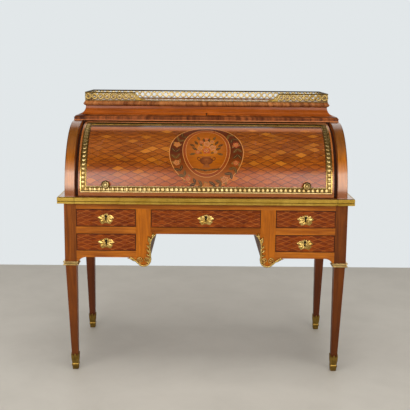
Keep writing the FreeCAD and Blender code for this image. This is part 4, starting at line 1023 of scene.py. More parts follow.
def leafOutline(length, width, turn, bend=0.0, count=9):
    # a leaf about its own middle, turned from the along direction
    edge = []
    for side in (1, -1):
        for number in range(count):
            share = number / count if side > 0 else 1 - number / count
            bow = bend * (0.25 - (share - 0.5) ** 2) * length
            edge.append(((share - 0.5) * length, side * width / 2 * sin(pi * share) ** 0.8 + bow))
    return [turned(x, y, turn) for x, y in edge]


def petalOutline(radius, petals, depth, turn, count=40):
    edge = []
    for angle in fullTurn(count):
        reach = radius * (1 - depth + depth * abs(cos(petals * (angle - turn) / 2)))
        edge.append(polar(reach, angle))
    return edge


def makeWreath(inlay, look):
    # leaves and flowers round the ring, heaviest at the bottom
    lift = inlay.lift
    reachX = (look["ringX"] + look["discX"]) / 2 + look["wreathOut"][0]
    reachY = (look["ringY"] + look["discY"]) / 2 + look["wreathOut"][1]
    for number, angle in enumerate(fullTurn(look["wreath"], 0.5)):
        across, up = polar(1.0, angle)
        if up > look["wreathTop"]:
            continue
        x, y = reachX * across, look["ringS"] + reachY * up - look["wreathDrop"]
        along = atan2(reachY * across, -reachX * up) + (pi if across > 0 else 0.0)
        tint = ("leaf", "leafPale", "leafDark")[number % 3]
        for side in (-1, 1):
            out = side * look["wreathHalf"]
            inlay.leaf((x + out * across, y + out * up), inlay.dice.uniform(*look["wreathLong"]),
                       look["wreathLeaf"], along + side * look["wreathTurn"], tint,
                       lift * 3 + lift * (number % 2))
        if number % 3 == 1:
            radius = inlay.dice.uniform(*look["wreathBloom"])
            inlay.blossom((x, y), radius, ("rose", "amber", "rosePale")[(number // 3) % 3], lift * 6)


urn = {  # places and sizes from the middle of the bowl
    "drop": 0.046, "bowl": (0.0285, 0.023), "neck": (0.86, 0.62), "bowlSteps": 28, "lipRise": 0.016,
    "foot": [(-0.017, -0.034), (0.017, -0.034), (0.012, -0.027), (0.005, -0.022), (-0.005, -0.022),
             (-0.012, -0.027)],
    "lip": [(-0.027, 0.0), (0.027, 0.0), (0.023, -0.005), (-0.023, -0.005)],
    "handle": (0.031, 0.004), "handleForm": (0.0095, 2, 0.35), "handleTurn": 0.9, "handleHole": 0.55,
    "sprays": [(0.03, 0.034, 0.35), (0.05, 0.052, 0.6), (0.022, 0.07, 1.2), (0.044, 0.084, 1.0),
               (0.058, 0.026, -0.25), (0.012, 0.098, 1.45), (0.034, 0.11, 1.2), (0.06, 0.07, 0.5)],
    "sprayLeaf": (0.027, 0.0105), "sprayBend": 0.12,
    "blooms": [(0.0, 0.044, 0.0175, "rose"), (-0.025, 0.056, 0.015, "amber"),
               (0.026, 0.058, 0.015, "rosePale"), (0.002, 0.078, 0.016, "rosePale"),
               (-0.036, 0.036, 0.0105, "rose"), (0.038, 0.038, 0.0105, "amber"),
               (-0.022, 0.088, 0.011, "rose"), (0.024, 0.09, 0.0115, "amber"), (0.0, 0.106, 0.009, "rose")],
    "turf": 4, "turfStep": 0.0125, "turfDrop": 0.041, "turfBow": 0.0016, "turfLeaf": (0.022, 0.0065),
    "turfTurn": (-0.25, 0.25),
}


def makeUrn(inlay, look, y, top):
    lift = inlay.lift
    inlay.lay((0.0, y), look["foot"], top, "urn", "urnPale")
    bowl = []
    for wide, high in ovalOutline(*look["bowl"], look["bowlSteps"]):  # a full bowl with a narrower neck
        bowl.append((wide, high) if high < 0 else (wide * look["neck"][0], high * look["neck"][1]))
    inlay.lay((0.0, y), bowl, top, "urnPale", "urn")
    inlay.lay((0.0, y + look["lipRise"]), look["lip"], top + lift, "urnPale")
    for side in (-1, 1):
        handle = petalOutline(*look["handleForm"], look["handleTurn"] * side, 20)
        inlay.lay((side * look["handle"][0], y + look["handle"][1]), handle, top - lift * 0.4, "urn",
                  hole=look["handleHole"])
        for number, (out, rise, turn) in enumerate(look["sprays"]):
            turn = turn if side > 0 else pi - turn
            tint = ("leaf", "leafDark")[number % 2]
            inlay.leaf((side * out, y + rise), *look["sprayLeaf"], turn, tint, top, look["sprayBend"] * side)
    for out, rise, radius, tint in look["blooms"]:
        inlay.blossom((out, y + rise), radius, tint, top + lift * 3)
    half = look["turf"]
    for number in range(-half, half + 1):  # the ground that the urn stands on
        low = y - look["turfDrop"] - look["turfBow"] * (half - abs(number))
        turn = inlay.dice.uniform(*look["turfTurn"])
        inlay.leaf((number * look["turfStep"], low), *look["turfLeaf"], turn, "leafDark", top)


def makeMedallion(look):
    inlay = Inlay(look)
    lift, edge, hole = look["lift"], look["edge"], look["ringHole"]
    disc, ring = (0.0, look["discS"]), (0.0, look["ringS"])
    inlay.lay(ring, ovalOutline(look["ringX"], look["ringY"]), lift, "string", hole=hole)
    # the ground of the ring turns lighter toward the bottom, as a painted sheen
    inlay.lay(ring, ovalOutline(look["ringX"] - edge, look["ringY"] - edge), lift * 2, "ground", "groundSheenLow",
              hole, lambda y: min(max(-y / look["fade"], 0.0), 1.0))
    makeWreath(inlay, look)
    first, climb = look["fieldLevel"]
    for inset, tint, shade in look["field"]:
        level = lift * (first + inset * climb)
        inlay.lay(disc, ovalOutline(look["discX"] - inset, look["discY"] - inset), level, tint, shade)
    makeUrn(inlay, urn, look["discS"] - urn["drop"], lift * look["urnLevel"])
    addPiece("fallMedallion", (inlay.points, inlay.faces), "inlaidWoods", "cylinder", slot="parquetry",
             tints=inlay.tints, sharp=60.0)


makeMedallion(medallion)
print("medallion laid")


fallKnob = {  # the neck and the rim are darker gilt, as painted shade
    "x": 0.419, "turn": 7.6, "petals": 8, "petalDepth": 0.055, "petalStart": 0.4, "segments": 48,
    "shadedRows": 10,
    "profile": [(0.0082, -0.0005), (0.0082, 0.0014), (0.007, 0.0026), (0.0056, 0.0055), (0.0054, 0.01),
                (0.0074, 0.0128), (0.013, 0.0154), (0.0166, 0.0172), (0.0174, 0.0192), (0.0164, 0.0212),
                (0.013, 0.023), (0.0104, 0.0237), (0.0088, 0.023), (0.0072, 0.0244), (0.005, 0.0262),
                (0.0022, 0.0269), (0.0003, 0.027)],
}


def knobPlace(origin, outward, side):
    up = outward.cross(side)
    return lambda x, y, z: origin + side * x + up * y + outward * z


def makeFallKnobs(look):
    turn = radians(look["turn"])
    outward = Vector((0.0, -cos(turn), sin(turn)))

    def petals(share, angle):
        return look["petalDepth"] * cos(look["petals"] * angle) if share > look["petalStart"] else 0.0

    form = turnedForm(look["profile"], look["segments"], petals)
    spots = [wrap(side * look["x"], desk["shellOut"] * turn, 0.0) for side in (-1, 1)]
    knobs = [moved(form, knobPlace(spot, outward, Vector((1, 0, 0)))) for spot in spots]
    shadedFaces = look["segments"] * look["shadedRows"]
    kinds = ([1] * shadedFaces + [0] * (len(form[1]) - shadedFaces)) * len(knobs)
    addPiece("fallKnobs", joined(knobs), ["paleGilt", "darkGilt"], "cylinder", ["cylinder_knobs"],
             "gilt_bronze", kinds=kinds)


makeFallKnobs(fallKnob)


cornice = {  # marks have the inset from the outer face, the height and the number of the veneer
    "outX": 0.592, "frontY": -0.008, "backY": 0.32, "barY": 0.302, "lowZ": 1.064, "height": 0.083,
    # the lowest steps of the hollow take the darker cross-banded veneer, as painted shade
    "wellInset": 0.066, "cavetto": 0.041, "hollow": (0.007, 0.02), "hollowSteps": 16, "shadedSteps": 5,
    # veneer 4 is dark wood, painted shade in the quirks
    "veneers": ["crossVeneer", "cavettoVeneer", "bullnoseVeneer", "paleEdge", "darkString"], "plain": 3,
    "runShift": 1.37,  # so that no two runs are cut alike
    "lower": [(0.0006, -0.0014, 3), (0.0, -0.0008, 3), (0.0, 0.0018, 3), (0.0014, 0.0028, 3),
              (0.0012, 0.011, 0), (0.0002, 0.012, 0), (0.0, 0.0127, 0), (0.0004, 0.0134, 0),
              (0.003, 0.015, 0), (0.0056, 0.0175, 0), (0.007, 0.02, 4)],
    "upper": [(0.0474, 0.0616, 4), (0.0472, 0.063, 4), (0.044, 0.064, 2), (0.0404, 0.0668, 2),
              (0.0384, 0.0704, 2), (0.038, 0.0718, 2), (0.0384, 0.0732, 2), (0.0412, 0.0758, 2),
              (0.0428, 0.0798, 2), (0.044, 0.0822, 2), (0.046, 0.083, 2)],
}


def corniceProfile(look):
    hollow = []
    for number in range(1, look["hollowSteps"] + 1):
        turn = radians(90 * number / look["hollowSteps"])
        hollow.append((look["hollow"][0] + look["cavetto"] * sin(turn),
                       look["hollow"][1] + look["cavetto"] * (1 - cos(turn)),
                       1 if number > look["shadedSteps"] else 0))
    well = [(look["wellInset"], look["height"], 2), (look["wellInset"], 0.0, look["plain"])]
    return look["lower"] + hollow + look["upper"] + well


def makeCornice(look):
    marks = corniceProfile(look)
    profile = [(inset, look["lowZ"] + height) for inset, height, _ in marks]
    outX, front, back, low = look["outX"], look["frontY"], look["backY"], look["lowZ"]
    corners = [((-outX, back), (1, 0)), ((-outX, front), (1, 1)), ((outX, front), (-1, 1)),
               ((outX, back), (-1, 0))]
    points, faces, uvs, kinds = [], [], [], []
    count = len(profile)
    for number in range(3):
        runPoints, runFaces, runUvs = sweep(profile, corners[number:number + 2])
        for face, uv in zip(runFaces, runUvs):
            isCap = len(face) > 4
            if isCap and (number, face[0] // count) not in ((0, 0), (2, 1)):
                continue  # the mitres need no caps
            faces.append(tuple(len(points) + spot for spot in face))
            uvs.append([(along + number * look["runShift"], girth) for along, girth in uv])
            kinds.append(look["plain"] if isCap else marks[(face[0] + 1) % count][2])
        points += runPoints
    wellX, bar = outX - look["wellInset"], look["barY"]
    start = len(points)
    points += [Vector((x, y, z)) for z in (low, low + look["height"])
               for x, y in ((-wellX, bar), (wellX, bar), (wellX, back), (-wellX, back))]
    for face in capped(2, 4):  # a bar across the back
        faces.append(tuple(start + spot for spot in face))
        uvs.append([(points[spot].x, points[spot].z) for spot in faces[-1]])
        kinds.append(look["plain"])
    addPiece("corniceMoulding", (points, faces), look["veneers"], "carcass", ["cornice"], "veneer", uvs,
             kinds, 32.0)


makeCornice(cornice)

corniceKey = {
    "z": 1.0935, "head": 0.003, "slot": 0.0016, "drop": 0.0085, "rim": 0.0012, "sunk": -0.0006,
    "rows": (0.02, 0.35, 0.7, 1.0), "steps": 20, "lifts": (0.0002, 0.0005), "headTurn": (-60, 300),
}


def makeCorniceKey(look):
    # a brass-rimmed keyhole that follows the hollow; its opening is a dark slab, as painted shade
    inset, start = cornice["hollow"]

    def onHollow(x, rise, lift):
        z = look["z"] + rise
        climb = min(max(z - cornice["lowZ"] - start, 0.0), cornice["cavetto"])
        reach = sqrt(cornice["cavetto"] ** 2 - (cornice["cavetto"] - climb) ** 2)
        return Vector((x, cornice["frontY"] + inset + reach - lift, z))

    first, spread = look["headTurn"]
    turns = [radians(first + spread * number / look["steps"]) for number in range(look["steps"] + 1)]
    for name, grow, lift, finish in (("corniceKeyRim", look["rim"], look["lifts"][0], "giltBronze"),
                                     ("corniceKeyhole", 0.0, look["lifts"][1], "darkString")):
        head, slot, drop = (look[part] + grow for part in ("head", "slot", "drop"))
        edge = [polar(head, turn) for turn in turns] + [(-slot, -drop), (slot, -drop)]
        rows = [[(x * share, z * share, lift) for x, z in edge] for share in look["rows"]]
        points, faces = moved(reliefSlab(rows, look["sunk"], True), onHollow)
        uvs = [[(points[spot].x, points[spot].z) for spot in face] for face in faces]
        addPiece(name, (points, faces), finish, "carcass", slot="gilt_bronze", uvs=uvs)


makeCorniceKey(corniceKey)


cheekLook = {  # a round-fronted board, with a thinner step inside it that the cylinder passes
    "inX": 0.549, "outX": 0.591, "stepX": 0.5358, "radius": 0.284, "stepRadius": 0.262, "backY": 0.32,
    "lowZ": 0.767, "stepZ": 0.769, "edge": 0.0016, "ease": 0.3, "overlap": 0.001, "steps": 72,
}


def cheekLoop(look, radius, low):
    top = desk["axisZ"] + look["radius"]
    loop = [(look["backY"], low), (look["backY"], top), (desk["axisY"], top)]
    for number in range(look["steps"] + 1):
        turn = radians(90 - 90 * number / look["steps"])
        loop.append((desk["axisY"] - radius * cos(turn), desk["axisZ"] + radius * sin(turn)))
    return loop + [(desk["axisY"] - radius, low)]


def makeCheeks(look):
    inX, outX, edge = look["inX"], look["outX"], look["edge"]
    plate = cheekLoop(look, look["radius"], look["lowZ"])
    small = cheekLoop(look, look["radius"] - edge, look["lowZ"])
    inner = cheekLoop(look, look["stepRadius"], look["stepZ"])
    ease = edge * look["ease"]
    board = [(inX, small), (inX + ease, plate), (outX - ease, plate), (outX, small)]
    for side, name in ((-1, "left"), (1, "right")):
        parts = []
        for levels in (board, [(look["stepX"], inner), (inX + look["overlap"], inner)]):
            points = [(side * x, y, z) for x, loop in levels for y, z in loop]
            parts.append((points, capped(len(levels), len(plate))))
        # the inner step is all dark wood, as painted shade in the slot
        kinds = [0] * (len(parts[0][1]) - 2) + [2, 2] + [1] * len(parts[1][1])
        addPiece(f"{name}CheekBoard", joined(parts), ["cheekVeneer", "slotShadeWood", "sideVeneer"], "carcass",
                 [f"cheek_{name}"], "veneer", kinds=kinds, sharp=25.0)


makeCheeks(cheekLook)
print("cornice and cheeks made")


gallery = {  # rings between two rails; the returns along the front end in a hollow sweep with a scroll
    "outX": 0.548, "nearY": 0.041, "farY": 0.319, "height": 0.04, "thick": 0.005, "rail": 0.0045,
    "topRail": 0.0062, "front": 0.274, "sweep": 0.048, "sweepSteps": 16, "tail": 0.009, "pitch": 0.028,
    "bar": (0.0022, 0.0006), "webHalf": 0.0011, "webLow": 0.8, "roundOff": (0.0012, 0.001, 0.0005),
    "scrollSteps": 29, "scrollTurns": 2.6, "scrollReach": (0.0066, 0.0046), "scrollIn": 0.0088,
    "scrollOut": 0.0008, "scrollRise": 0.013, "scrollBar": 0.0013,
    "post": [(0.0021, 0.0), (0.0021, 0.039), (0.0012, 0.0398)], "ringTurns": 24,
    "ring": (0.0076, 0.0153, 0.003), "lip": (0.006, 0.0081, 0.0022),  # radius inside, outside, thickness
}


def ringForm(inner, outer, thick, turns):
    # a cast ring standing in the XZ plane
    chamfer = (outer - inner) * 0.14
    half = [(inner, 0.3), (inner + chamfer, 0.5), (outer - chamfer, 0.5), (outer, 0.25)]
    section = [(radius, -share) for radius, share in half] + half[::-1]
    points = []
    for turn in fullTurn(turns):
        for radius, share in section:
            x, z = polar(radius, turn)
            points.append((x, share * thick, z))
    return points, gridFaces(turns, len(section), True, flip=True)


def railProfile(look, low, high):
    # a small rounded moulding, as (inset, height)
    side, end, waist = look["roundOff"]
    outside = [(side, low), (0.0, low + end), (waist, (low + high) / 2), (0.0, high - end), (side, high)]
    return outside + [(look["thick"] - inset, height) for inset, height in reversed(outside)]


def makeReturn(look, side, sweepX, add):
    # the end of the top rail sweeps down in a hollow curve, over a dark web and a scroll
    low, steps = desk["topZ"], look["sweepSteps"]
    middleY = look["nearY"] + look["thick"] / 2
    thick, taper = look["bar"]
    drop = look["height"] - look["tail"]
    bend = (look["sweep"] ** 2 + drop ** 2) / (2 * drop)
    curve = []
    for number in range(steps + 1):
        run = look["sweep"] * number / steps
        rise = bend - sqrt(bend ** 2 - (look["sweep"] - run) ** 2)
        curve.append((side * (sweepX - run), low + look["tail"] + rise - thick))
    bar = [Vector((x, middleY, z)) for x, z in curve]
    add(tube(bar, [thick - taper * number / steps for number in range(steps + 1)], 8))
    half, foot = look["webHalf"], low + look["rail"] * look["webLow"]
    web = reliefSlab([[(x, foot, half), (x, z, half)] for x, z in curve], -half)
    add(moved(web, lambda x, z, y: (x, middleY + y, z)), 1)
    scroll = []
    large, closing = look["scrollReach"]
    last = look["scrollSteps"]
    for number in range(last + 1):
        turn = look["scrollTurns"] * pi * number / last
        reach = large - closing * number / last
        x = side * (sweepX - look["scrollIn"] + reach * cos(turn))
        z = low + look["scrollRise"] + reach * sin(turn)
        scroll.append(Vector((x, look["nearY"] + look["scrollOut"], z)))
    add(tube(scroll, [look["scrollBar"]] * (last + 1), 6))


def makeGallery(look):
    outX, near, far, half = look["outX"], look["nearY"], look["farY"], look["thick"] / 2
    low, high = desk["topZ"], desk["topZ"] + look["height"]
    sweepX = outX - look["front"] + look["sweep"]
    parts, kinds = [], []

    def add(form, kind=0):
        parts.append(form)
        kinds.extend([kind] * len(form[1]))

    corners = [((-outX, near), (1, 1)), ((-outX, far), (1, -1)), ((outX, far), (-1, -1)),
               ((outX, near), (-1, 1))]
    ends = [((side * sweepX, near), (0, 1)) for side in (-1, 1)]  # of the top rail; the low one runs on
    add(sweep(railProfile(look, low, low + look["rail"]), corners, True)[:2])
    add(sweep(railProfile(look, high - look["topRail"], high), ends[:1] + corners + ends[1:])[:2], 2)
    for side in (-1, 1):
        makeReturn(look, side, sweepX, add)
    post = turnedForm(look["post"], 10)
    for side in (-1, 1):  # small posts at the corners and the ends of the returns
        for x, y in ((outX - half, near + half), (outX - half, far - half), (sweepX, near + half)):
            add(moved(post, lambda across, deep, rise: (side * x + across, y + deep, low + rise)))
    addPiece("galleryRails", joined(parts), ["galleryGilt", "darkGilt", "railGilt"], "carcass", ["gallery"],
             "gilt_bronze", kinds=kinds)
    runs = []
    front, back, side = near + half, far - half, outX - half
    for start, finish in (((-outX, back), (outX, back)), ((-side, near), (-side, far)),
                          ((side, near), (side, far)), ((-outX, front), (-sweepX, front)),
                          ((sweepX, front), (outX, front))):
        row = evenRow(start, finish, look["pitch"], look["pitch"] / 2)
        runs.append([(x, y, (low + high) / 2) for x, y in row])
    # the back rings take a paler copy of the gilt as a painted reflection, the returns a darker copy as
    # painted shade
    for name, size, stretch, finish in (
        ("backRings", "ring", runs[:1], "creamGilt"), ("galleryRings", "ring", runs[1:3], "galleryGilt"),
        ("returnRings", "ring", runs[3:], "returnGilt"),
        ("galleryRingLips", "lip", runs[1:], "darkGilt"),  # a darker lip inside the rings, as painted shade in the holes, but for the back
    ):
        form = ringForm(*look[size], look["ringTurns"])
        castRow(name, form, stretch, look["pitch"], finish, "carcass", up=(0, 0, 1))


makeGallery(gallery)
print("gallery made")


escutcheon = {  # right half of the outline from crest to foot, in half widths and half heights
    "half": [(0.0, 1.0), (0.14, 0.97), (0.25, 0.84), (0.36, 0.72), (0.5, 0.76), (0.66, 0.7), (0.74, 0.54),
             (0.84, 0.34), (1.0, 0.13), (0.82, 0.02), (0.68, -0.18), (0.78, -0.34), (0.76, -0.54),
             (0.62, -0.66), (0.6, -0.84), (0.44, -0.95), (0.3, -0.88), (0.16, -0.78), (0.0, -0.78)],
    "wide": 0.035, "high": 0.023, "rows": 16, "columns": 144, "centreRise": 0.004,
    "headRise": 0.0115, "headRadius": 0.0048, "slotHalf": 0.003, "slotLow": -0.0062, "keyStep": 0.0001,
    "keyLimit": 0.02, "plate": 0.0009, "rim": 0.0009, "vein": 0.0007, "swell": 0.0014, "lobe": 0.00036,
    "thin": 0.0005, "sunk": -0.0002,
    # shares of the way out from the keyhole: middle and width of the rim and of the lobes, run of the swell
    "rimAt": (0.1, 0.09), "lobeAt": (0.78, 0.13), "lobes": 7, "swellRun": (0.92, 0.08),
    "veins": 11, "veinTwist": 2.4, "veinPower": 0.7,
}


def escutcheonForm(look):
    centre, columns = look["centreRise"], look["columns"]
    right = [(look["wide"] * u, look["high"] * v - centre) for u, v in look["half"]]
    edge = right + [(-x, y) for x, y in reversed(right[1:-1])]
    rays = sorted((atan2(y, x), hypot(x, y)) for x, y in edge)

    def outline(angle):
        for (first, near), (second, far) in zip(rays, rays[1:]):
            if first <= angle <= second:
                return near + (far - near) * (angle - first) / max(second - first, 1e-9)
        return rays[0][1]

    def keyhole(angle):
        reach = 0.0
        while reach < look["keyLimit"]:
            x, z = reach * cos(angle), centre + reach * sin(angle)
            inSlot = abs(x) < look["slotHalf"] and look["slotLow"] < z < look["headRise"]
            if not inSlot and hypot(x, z - look["headRise"]) > look["headRadius"]:
                break
            reach += look["keyStep"]
        return reach

    angles = [turn - pi for turn in fullTurn(columns, 0.5)]
    outer = [outline(angle) for angle in angles]
    outer = [(outer[n - 1] + 2 * outer[n] + outer[(n + 1) % columns]) / 4 for n in range(columns)]
    inner = [keyhole(angle) for angle in angles]
    grid = []
    for row in range(look["rows"]):
        share = row / (look["rows"] - 1)
        line = []
        for angle, near, far in zip(angles, inner, outer):
            reach = near + (far - near) * share
            rim = look["rim"] * bell(share, *look["rimAt"])
            waves = cos(look["veins"] * angle + look["veinTwist"] * share)
            vein = look["vein"] * waves * sin(pi * share) ** look["veinPower"]
            swell = look["swell"] * sin(pi * min(1.0, share * look["swellRun"][0] + look["swellRun"][1]))
            lobe = look["lobe"] * bell(share, *look["lobeAt"]) * (1 + cos(look["lobes"] * angle))
            height = look["plate"] + rim + vein + swell + lobe - look["thin"] * share ** 4
            x, y = polar(reach, angle)
            line.append((x, y + centre, height))
        grid.append(line)
    return reliefSlab(grid, look["sunk"], True)


def makeEscutcheons(look):
    form = escutcheonForm(look)
    for name in drawerNames:
        middle, half = boxMiddle(f"{name}_escutcheon")
        x, z = middle.x, middle.z + half.z - look["high"]
        plate = moved(form, lambda along, rise, out: (x + along, desk["faceY"] - out, z + rise))
        addPiece(f"{name}_cartouche", plate, "giltBronze", name, [f"{name}_escutcheon"], "gilt_bronze",
                 sharp=50.0)


makeEscutcheons(escutcheon)


sabot = {  # cast shoe: ribbed toe, thick ring and a cup of leaves that leans with the leg
    "x": 0.5615, "frontY": -0.2745, "rearY": 0.2885, "faceColumns": 24, "cupRows": 12, "cupLow": 0.03,
    "cupWidth": (0.0276, 0.0304), "tip": 0.0738, "dip": 0.0135, "leafRise": 0.0022, "rib": 0.0013,
    "vein": 0.00025, "toeRib": 0.0005, "toe": (0.003, 0.012), "tuck": 0.001,
    "lean": (0.0186, 0.0098), "legLow": (0.014, 0.025), "legSlope": 0.0459, "toeRibs": 6, "dipPower": 1.3,
    "ribAt": ((0.0, 0.08), (1.0, 0.1)), "veinRun": (38, 9), "leafPower": 0.8, "growth": (0.3, 1.6),
    "profile": [(0.0205, 0.0), (0.0232, 0.001), (0.0254, 0.004), (0.0264, 0.008), (0.0258, 0.0118),
                (0.026, 0.014), (0.0288, 0.0158), (0.0306, 0.0185), (0.0314, 0.0222), (0.0308, 0.0256),
                (0.0292, 0.0282), (0.0278, 0.0296)],
}


def squareReach(width, angle, power=12.0):
    return width / 2 / (abs(cos(angle)) ** power + abs(sin(angle)) ** power) ** (1 / power)


def sabotRows(look):
    # rows of (reach, turn, height) round one shoe
    columns, cupRows, cupLow = look["faceColumns"], look["cupRows"], look["cupLow"]
    sides = [-1 + 2 * (column + 0.5) / columns for column in range(columns)]
    turns = [(face * pi / 2 + atan(across), across) for face in range(4) for across in sides]
    rows = []
    for width, z in look["profile"]:
        ribs = look["toeRib"] if look["toe"][0] < z < look["toe"][1] else 0.0
        rows.append([(squareReach(width, turn) + ribs * cos(look["toeRibs"] * pi * across), turn, z)
                     for turn, across in turns])
    for number in range(cupRows + 2):
        share = min(number / cupRows, 1.0)
        row = []
        for turn, across in turns:
            crest = abs(cos(pi * across))
            top = look["tip"] - look["dip"] * (1 - crest ** look["dipPower"])
            z = cupLow + (top - cupLow) * share
            if number > cupRows:  # the rim turns in behind the face of the leg
                width = look["legLow"][1] + (z - look["legLow"][0]) * look["legSlope"] - look["tuck"]
                row.append((squareReach(width, turn), turn, z))
                continue
            width = look["cupWidth"][0] + (look["cupWidth"][1] - look["cupWidth"][0]) * share
            ribs = look["rib"] * sum(bell(abs(across), *place) for place in look["ribAt"])
            veins = look["vein"] * cos(look["veinRun"][0] * share + look["veinRun"][1] * abs(across)) * crest
            growth = min(1.0, look["growth"][0] + look["growth"][1] * share)
            relief = (look["leafRise"] * crest ** look["leafPower"] + ribs + veins) * growth
            row.append((squareReach(width, turn) + relief, turn, z))
        rows.append(row)
    return rows


def makeSabots(look):
    rows = sabotRows(look)
    parts = []
    for x in (-look["x"], look["x"]):
        for y in (look["frontY"], look["rearY"]):
            points = []
            for reach, turn, z in (mark for row in rows for mark in row):
                lean = max(0.0, z - look["legLow"][0])
                points.append((x + copysign(look["lean"][0] * lean, x) + reach * cos(turn),
                               y + copysign(look["lean"][1] * lean, y) + reach * sin(turn), z))
            parts.append((points, capped(len(rows), len(rows[0]))))
    addPiece("leafShoes", joined(parts), "darkGilt", "carcass", ["sabots"], "gilt_bronze", sharp=50.0)


makeSabots(sabot)


collar = {  # two roped beads with a flat waist between them
    "frontReach": 0.0085, "rearReach": 0.006, "lowZ": 0.4715, "bead": 0.0062, "height": 0.018, "stations": 26,
    "twist": 0.0012, "waist": 0.0056, "beadSteps": 6, "sunk": 0.001, "ropeStep": 1.9, "ropeSlant": 2.2,
}


def collarSection(look, reach, number, rope):
    # (inset, height) round one section; the rope dies away at the mitres
    lowZ, highZ, radius = look["lowZ"], look["lowZ"] + look["height"], look["bead"] / 2
    beads = []
    for centre, hand in ((lowZ + radius, 1), (highZ - radius, -1)):
        bead = []
        for part in range(look["beadSteps"] + 1):
            angle = radians(-90 + 180 * part / look["beadSteps"])
            swell = rope * cos(look["ropeStep"] * number + hand * look["ropeSlant"] * angle)
            bead.append((radius * (1 - cos(angle)) + look["twist"] + swell * cos(angle),
                         centre + radius * sin(angle)))
        beads.append(bead)
    waist = [(look["waist"], lowZ + look["bead"]), (look["waist"], highZ - look["bead"])]
    back = [(reach + look["sunk"], beads[1][-1][1]), (reach + look["sunk"], beads[0][0][1])]
    return beads[0] + waist + beads[1] + back


def makeCollars(look):
    parts = []
    stations = look["stations"]
    for name in ("leg_front_left", "leg_front_right", "leg_rear_left", "leg_rear_right"):
        low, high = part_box(name)
        reach = look["frontReach"] if "front" in name else look["rearReach"]
        lowX, highX, lowY, highY = low.x - reach, high.x + reach, low.y - reach, high.y + reach
        corners = [((lowX, lowY), (1, 1)), ((highX, lowY), (-1, 1)), ((highX, highY), (-1, -1)),
                   ((lowX, highY), (1, -1))]
        points = []
        for number in range(4 * stations):
            side, part = divmod(number, stations)
            start, finish = corners[side], corners[(side + 1) % 4]
            spot, way = (between(start[kind], finish[kind], part / stations) for kind in (0, 1))
            section = collarSection(look, reach, number, look["twist"] if part else 0.0)
            points += [(spot[0] + way[0] * inset, spot[1] + way[1] * inset, z) for inset, z in section]
        parts.append((points, gridFaces(4 * stations, len(section), True, flip=True)))
    addPiece("legCollars", joined(parts), "paleGilt", "carcass", ["leg_collars"], "gilt_bronze", sharp=55.0)


makeCollars(collar)
print("escutcheons, sabots and collars made")


scrollMount = {  # right-hand mount: places in the front plane, metres
    "band": [(0.319, 0.5085), (0.306, 0.501), (0.293, 0.4905), (0.2815, 0.48), (0.272, 0.4735),
             (0.261, 0.4712), (0.249, 0.4745), (0.239, 0.483), (0.2338, 0.496), (0.2342, 0.515),
             (0.2358, 0.538), (0.2362, 0.556), (0.234, 0.572), (0.228, 0.588), (0.22, 0.6),
             (0.2105, 0.608)],
    "bandRadius": 0.0042, "bandSwell": (0.55, 0.5), "bandFlat": 0.9, "ripple": 0.00045, "rippleStep": 1.25,
    "proud": 0.0018,
    "leaves": [((0.2375, 0.548), -0.55, 0.02, 0.0085), ((0.2365, 0.53), -0.7, 0.022, 0.009),
               ((0.2352, 0.513), -0.95, 0.02, 0.0085), ((0.2372, 0.572), -0.15, 0.024, 0.009),
               ((0.227, 0.59), 0.35, 0.026, 0.01), ((0.231, 0.583), -0.55, 0.02, 0.0085),
               ((0.296, 0.4935), -1.2, 0.02, 0.0085), ((0.307, 0.502), -1.35, 0.022, 0.008),
               ((0.286, 0.485), -0.8, 0.018, 0.008)],
    "leafGrow": (1.15, 1.25), "leafHeight": 0.0048, "leafCurl": 0.003, "leafProud": 0.0002,
    "volutes": [((0.2765, 0.493), 0.015, 1), ((0.2495, 0.495), 0.0125, -1)],
    "voluteSteps": 34, "voluteTurns": 3.4, "voluteClose": 0.78, "voluteRise": 0.2,
    "voluteBar": (0.0024, 0.0008),
    "eye": [(0.0024, 0.0), (0.0024, 0.002), (0.0018, 0.0032), (0.0007, 0.0039), (0.0001, 0.004)],
}


def makeScrolls(look):
    parts = []
    outY, steps = desk["faceY"] - look["proud"], look["voluteSteps"]
    thick, taper = look["voluteBar"]
    least, more = look["bandSwell"]
    for side in (1, -1):
        path = smoothPath([(side * x, outY, z) for x, z in look["band"]], 6)
        radii = []
        for number in range(len(path)):
            swell = least + more * sqrt(abs(sin(pi * number / (len(path) - 1))))
            radii.append(look["bandRadius"] * swell + look["ripple"] * cos(number * look["rippleStep"]))
        parts.append(tube(path, radii, 10, look["bandFlat"]))
        for (x, z), turn, length, width in look["leaves"]:
            form = leafForm(length * look["leafGrow"][0], width * look["leafGrow"][1], look["leafHeight"],
                            8, 7, look["leafCurl"])
            parts.append(moved(form, lambda px, py, out: (
                side * (x + turned(px, py, turn)[0]), desk["faceY"] - look["leafProud"] - out,
                z + turned(px, py, turn)[1])))
        for (x, z), radius, hand in look["volutes"]:
            middleZ = z + radius * look["voluteRise"]
            spiral = []
            for number in range(steps):
                share = number / (steps - 1)
                angle = -pi / 2 + hand * look["voluteTurns"] * pi * share
                reach = radius * (1 - look["voluteClose"] * share)
                spiral.append(Vector((side * (x + reach * cos(angle)), outY,
                                      middleZ + reach * sin(angle))))
            parts.append(tube(spiral, [thick - taper * number / steps for number in range(steps)], 8))
            parts.append(moved(turnedForm(look["eye"], 14), lambda px, py, out: (
                side * (x + px), desk["faceY"] - out, middleZ + py)))
    addPiece("scrollMounts", joined(parts), "giltBronze", "carcass", ["scroll_mounts"], "gilt_bronze",
             sharp=55.0)


makeScrolls(scrollMount)


innerDrawer = {
    "boardThick": 0.01, "edge": 0.0012, "ease": 0.3,
    "knob": [(0.004, -0.0004), (0.004, 0.0012), (0.003, 0.003), (0.0028, 0.0058), (0.004, 0.0074),
             (0.0064, 0.009), (0.007, 0.0106), (0.0062, 0.0124), (0.004, 0.0136), (0.0012, 0.014)],
}


